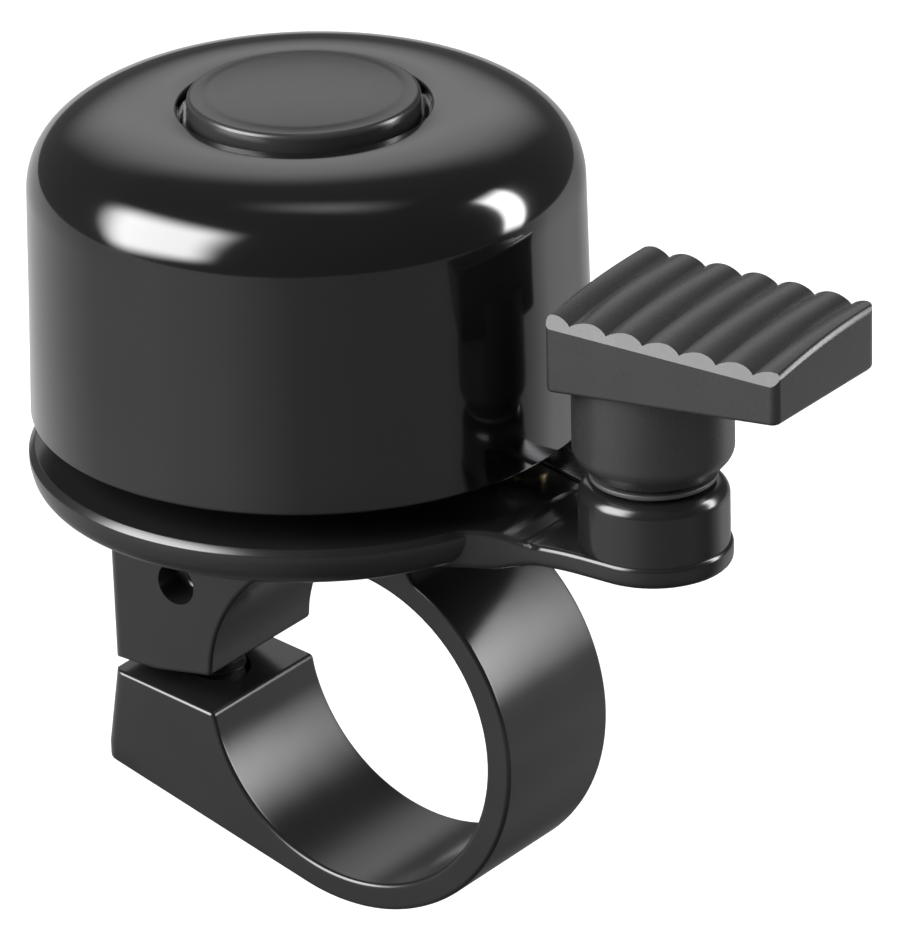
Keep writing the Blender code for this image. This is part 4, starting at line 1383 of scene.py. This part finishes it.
@dataclass
class Striker:
    """Hub, leaf spring arm, head and rivet that strike the dome from inside."""

    reach: float = 13.0
    rest_deg: float = 17.0
    head_radius: float = 2.0
    arm_half_width: float = 1.2
    ring_radius: float = 3.3
    key_half: float = 1.8
    rivet_radius: float = 0.6

    def __post_init__(self) -> None:
        """Find the lever's axis and the head's place."""
        self.x = axis_mm("lever_turn").x
        turn = math.radians(self.rest_deg)
        self.head_at = (self.x - self.reach * math.cos(turn), self.reach * math.sin(turn))

    def key(self, name: str) -> Object:
        """Square cutter for the spigot's key."""
        half = self.key_half
        return Bench.block(name, (self.x - half, -half, 16.0), (self.x + half, half, 20.0))

    def hub(self) -> Object:
        """Steel disc that turns with the spigot."""
        low, high = box_mm("striker_hub")
        radius = self.ring_radius
        corners = [(0.0, low.z), (radius, low.z, 0.12), (radius, high.z, 0.12), (0.0, high.z)]
        hub = Bench.lathe("striker_hub_disc", rounded(corners, steps=3), (self.x, 0.0), 64)
        return Bench.cut(hub, self.key("hub_key"))

    def arm(self) -> Object:
        """Leaf spring with a round end at the hub and one at the head."""
        low, high = box_mm("striker_arm")
        head_end = math.degrees(math.asin(self.arm_half_width / self.head_radius))
        root_end = math.degrees(math.asin(self.arm_half_width / self.ring_radius))
        outline = arc((0.0, 0.0), self.ring_radius, root_end, 360 - root_end, 48)
        outline += arc((self.reach, 0.0), self.head_radius, 180 + head_end, 540 - head_end, 32)
        turn = Matrix.Rotation(math.radians(180 - self.rest_deg), 2)
        placed = [tuple(turn @ Vector(p) + Vector((self.x, 0.0))) for p in outline]
        arm = Bench.prism("striker_leaf", placed, low.z, high.z)
        Bench.round_edges(arm, 0.06, 2, lambda a, b: abs(a.z - b.z) < NEAR_MM)
        hole = Bench.lathe("hole", BaseCasting.rod(self.rivet_radius + 0.3, 17.0, 20.0), self.head_at, 32)
        return Bench.cut(arm, self.key("arm_key"), hole)

    def head(self) -> Object:
        """Turned head with rounded ends and a groove round its middle."""
        low, high = box_mm("striker_head")
        middle, inner = (low.z + high.z) / 2, self.rivet_radius + 0.3
        outer, groove = self.head_radius, self.head_radius - 0.2
        corners = [(inner, low.z, 0.1), (outer, low.z, 0.45), (outer, middle - 0.4, 0.1),
                   (groove, middle - 0.2, 0.1), (groove, middle + 0.2, 0.1), (outer, middle + 0.4, 0.1),
                   (outer, high.z, 0.6), (inner, high.z, 0.1)]
        return Bench.lathe("striker_hammer", rounded(corners, True, 5), self.head_at, 64, ring=True)

    def rivet(self) -> Object:
        """Rivet through the arm and the head, with a domed end."""
        low, high = box_mm("striker_rivet")
        foot_top, cap_low = low.z + 0.35, high.z - 0.4
        corners = [(0.0, low.z), (1.3, low.z, 0.15), (1.3, foot_top, 0.05), (self.rivet_radius, foot_top),
                   (self.rivet_radius, cap_low), (1.1, cap_low, 0.05), (0.95, high.z, 0.4), (0.0, high.z)]
        return Bench.lathe("striker_rivet_pin", rounded(corners, steps=4), self.head_at, 48)

    def build(self, black_steel: Material, spring_steel: Material, steel: Material, brass: Material) -> None:
        """Model the striker and put it in place."""
        fit(Bench.smooth(self.hub()), black_steel, Body.LEVER, "striker_hub")
        fit(Bench.smooth(self.arm()), spring_steel, Body.STRIKER, "striker_arm")
        fit(Bench.smooth(self.head()), steel, Body.STRIKER, "striker_head")
        fit(Bench.smooth(self.rivet()), brass, Body.STRIKER, "striker_rivet")


# ---------------------------------------------------------------- studio

class Lights(Enum):
    """What a light falls on."""

    BELL = "bell"
    FLOOR = "floor"


def bearing(azimuth: float, elevation: float) -> Vector:
    """Direction to a bearing, where azimuth 0 is -Y and 90 is +X."""
    a, e = math.radians(azimuth), math.radians(elevation)
    return Vector((math.sin(a) * math.cos(e), -math.cos(a) * math.cos(e), math.sin(e)))


@dataclass(frozen=True)
class SoftLight:
    """A rectangular light that faces the bell. Lengths are in metres."""

    name: str
    azimuth: float
    elevation: float
    distance: float
    width: float
    height: float
    radiance: float
    soft: float = 0.0
    lean: float = 0.0
    falls_on: Lights = Lights.BELL

    def build(self, target: Vector, floor: bpy.types.Collection) -> None:
        """Hang the light at its bearing from the target.

        Args:
            target: Where it points.
            floor: The collection that holds the floor.
        """
        towards = bearing(self.azimuth, self.elevation)
        data = bpy.data.lights.new(self.name, "AREA")
        data.shape = "RECTANGLE"
        data.size, data.size_y = self.width, self.height
        data.energy = self.radiance * math.pi * self.width * self.height
        if self.soft:
            self.fade_edges(data)
        lamp = bpy.data.objects.new(self.name, data)
        bpy.context.scene.collection.objects.link(lamp)
        lamp.location = target + towards * self.distance
        lamp.rotation_mode = "QUATERNION"
        lean = Quaternion((0.0, 0.0, 1.0), math.radians(self.lean))
        lamp.rotation_quaternion = towards.to_track_quat("Z", "Y") @ lean
        receivers = bpy.data.collections.new(f"{self.name}_receivers")
        receivers.objects.link(floor.objects[0])
        state = "INCLUDE" if self.falls_on is Lights.FLOOR else "EXCLUDE"
        receivers.collection_objects[0].light_linking.link_state = state
        lamp.light_linking.receiver_collection = receivers

    def fade_edges(self, data: bpy.types.Light) -> None:
        """Dim a light towards its edges, over the share of its size that soft gives."""
        data.use_nodes = True
        sheet = Sheet.on(data.node_tree)
        spot = sheet.node("ShaderNodeNewGeometry").outputs["Parametric"]
        parts = sheet.node("ShaderNodeSeparateXYZ", {}, {0: spot})
        across, along = [Wave(sheet, parts.outputs[axis]).inset(self.soft) for axis in ("X", "Y")]
        level = across * along
        emission = data.node_tree.nodes["Emission"]
        data.node_tree.links.new(level.socket, emission.inputs["Color"])


@dataclass(frozen=True)
class PaintedFloorReflection:
    """Painted reflection of the floor: a glowing card that is no lamp, seen only by the bell's glossy faces,
    brighter or darker by azimuth and dimmer near the bell. Lengths are in metres.

    The levels run around the bell from azimuth -180 to 180, evenly spaced.
    """

    height: float
    size: float = 3.0
    levels: tuple[float, ...] = (0.4, 0.5, 0.7, 0.68, 0.55, 0.76, 0.72, 0.36, 0.33, 0.34, 0.1, 0.9, 0.4)
    near: Point = (0.05, 0.16)

    def build(self) -> None:
        """Lay the glowing card of painted reflection just above the floor, seen by reflections only."""
        Bench.clear()
        bpy.ops.mesh.primitive_plane_add(size=self.size)
        card = bpy.context.object
        card.name = "painted_floor_reflection"
        bpy.ops.object.mode_set(mode="EDIT")
        bpy.ops.mesh.select_all(action="SELECT")
        bpy.ops.transform.translate(value=(0.0, 0.0, self.height))
        bpy.ops.object.mode_set(mode="OBJECT")
        sheet = Sheet("painted_floor_reflection")
        parts = sheet.node("ShaderNodeSeparateXYZ", {}, {0: sheet.place})
        x, y = Wave(sheet, parts.outputs["X"]), Wave(sheet, parts.outputs["Y"])
        turn = x.turn_from(-1.0 * y) * (0.5 / math.pi) + 0.5
        count = len(self.levels) - 1
        around = sheet.ramp(turn, *[(i / count, level) for i, level in enumerate(self.levels)])
        away = (x * x + y * y) ** 0.5
        fade = sheet.ramp(away, (self.near[0], 0.25), (self.near[1], 1.0))
        # painted reflection: how bright the floor looks in reflections, set by azimuth and dimmed near the
        # bell as painted shade
        painted_reflection = around * fade
        card.data.materials.append(sheet.set(
            Base_Color=(0.0, 0.0, 0.0, 1.0), Roughness=1.0, IOR=1.0, Emission_Strength=1.0,
            Emission_Color=sheet.blend(painted_reflection, (0.0, 0.0, 0.0), (1.0, 1.0, 1.0))))
        card.visible_camera = False
        card.visible_diffuse = False
        card.visible_shadow = False


@dataclass
class Studio:
    """Camera, soft lights, pale floor and pale surroundings. Lengths are in metres."""

    target: Vector = Vector((0.0, 0.0, 0.015))
    lens_mm: float = 341.6
    camera_distance: float = 0.5789
    camera_shift: Point = (0.00346, 0.014848)
    right: Vector = Vector((0.8120, 0.5833, -0.0208))
    up: Vector = Vector((-0.2242, 0.3447, 0.9116))
    back: Vector = Vector((0.5389, -0.7355, 0.4107))
    floor_z: float = -0.06
    floor_size: float = 6.0
    surround: float = 0.12

    def camera(self) -> None:
        """Look at the bell from the lever's side, from above."""
        data = bpy.data.cameras.new("camera")
        data.lens = self.lens_mm
        data.sensor_width = 36.0
        data.clip_start, data.clip_end = 0.01, 20.0
        camera = bpy.data.objects.new("camera", data)
        bpy.context.scene.collection.objects.link(camera)
        axes = Matrix((self.right, self.up, self.back)).transposed()
        place = self.back * self.camera_distance + self.right * self.camera_shift[0]
        place += self.up * self.camera_shift[1]
        camera.matrix_world = Matrix.Translation(place) @ axes.to_4x4()
        bpy.context.scene.camera = camera

    def floor(self) -> bpy.types.Collection:
        """Lay the pale floor below the bell, and hand over the collection that holds it."""
        Bench.clear()
        bpy.ops.mesh.primitive_plane_add(size=self.floor_size, location=(0.0, 0.0, self.floor_z))
        floor = bpy.context.object
        floor.name = "floor"
        sheet = Sheet("pale_floor")
        tone = sheet.noise(0.02, 2.0)
        floor.data.materials.append(sheet.set(
            Base_Color=sheet.blend(tone, grey(0.86), grey(0.9)), Roughness=0.9))
        group = bpy.data.collections.new("floor")
        group.objects.link(floor)
        return group

    def surroundings(self) -> None:
        """Fill the studio with a weak even light."""
        world = bpy.data.worlds.new("studio")
        world.use_nodes = True
        world.node_tree.nodes["Background"].inputs["Color"].default_value = (1.0, 1.0, 1.0, 1.0)
        world.node_tree.nodes["Background"].inputs["Strength"].default_value = self.surround
        bpy.context.scene.world = world
        bpy.context.scene.view_settings.view_transform = "Standard"

    def build(self) -> None:
        """Set up the whole studio."""
        self.camera()
        floor = self.floor()
        self.surroundings()
        lights = [
            SoftLight("key_softbox", -33.0, 32.0, 0.45, 0.50, 0.54, 16.0, 0.3, 18.0),
            SoftLight("strip_softbox", 134.0, 25.0, 0.45, 0.12, 0.46, 18.0, 0.2, -20.0),
            SoftLight("backdrop_panel", 217.0, 31.0, 0.9, 1.0, 0.7, 0.85, 0.4),
            SoftLight("overhead_panel", 199.0, 78.0, 0.6, 0.4, 0.2, 1.3, 0.5),
            SoftLight("floor_light", 216.0, 70.0, 0.5, 0.3, 0.3, 17.0, falls_on=Lights.FLOOR),
        ]
        for light in lights:
            light.build(self.target, floor)
        # glowing card of painted reflection, seen only in the bell's glossy faces
        PaintedFloorReflection(self.floor_z + 0.002).build()


# ---------------------------------------------------------------- assembly

def main() -> None:
    """Build every piece, dress it and set up the studio."""
    logging.basicConfig(level=logging.INFO, format="%(name)s: %(message)s")
    lever_axis, clamp_axis = axis_mm("lever_turn"), axis_mm("clamp_screw_turn")
    dome = Dome()
    dome_axis = Vector((dome.at[0], 0.0, 0.0))
    zinc_colour = (0.6, 0.61, 0.63)
    lever_plastic = MouldedPlastic("matte_black_plastic", 0.02, 0.29, 0.0015).material()
    cap_plastic = MouldedPlastic("semi_gloss_black_plastic", 0.02, 0.24, 0.001).material()
    nylon = MouldedPlastic("black_nylon", 0.04, 0.5, 0.002).material()
    zinc = TurnedMetal("zinc_on_lever_axis", zinc_colour, 0.32, lever_axis).material()
    dome_zinc = TurnedMetal("zinc_on_dome_axis", zinc_colour, 0.32, dome_axis).material()
    clamp_zinc = TurnedMetal("zinc_on_clamp_axis", zinc_colour, 0.32, clamp_axis).material()
    oxide_colour = (0.05, 0.05, 0.052)
    black_steel = TurnedMetal("black_oxide_steel", oxide_colour, 0.42, clamp_axis).material()
    spring_steel = TurnedMetal("blued_spring_steel", (0.13, 0.13, 0.14), 0.3, lever_axis, 1.5).material()
    bronze = TurnedMetal("sintered_bronze", (0.5, 0.34, 0.2), 0.45, lever_axis, 6.0, 0.4).material()
    striker = Striker()
    head_axis = Vector((*striker.head_at, 0.0))
    brass = TurnedMetal("turned_brass", (0.72, 0.56, 0.3), 0.28, head_axis).material()
    lever_steel = TurnedMetal("black_oxide_on_lever_axis", oxide_colour, 0.42, lever_axis).material()
    head_steel = TurnedMetal("turned_steel", (0.5, 0.51, 0.52), 0.25, head_axis).material()

    BaseCasting().build(SatinCasting().material())
    dome.build(GlossEnamel().material(), cap_plastic, dome_zinc, SoftRubber().material())
    ClampFixings().build(black_steel, clamp_zinc)
    ThumbLever().build(lever_plastic)
    LeverFixings().build(zinc, bronze, nylon, spring_steel)
    striker.build(lever_steel, spring_steel, head_steel, brass)
    Studio().build()


if __name__ == "__main__":
    main()
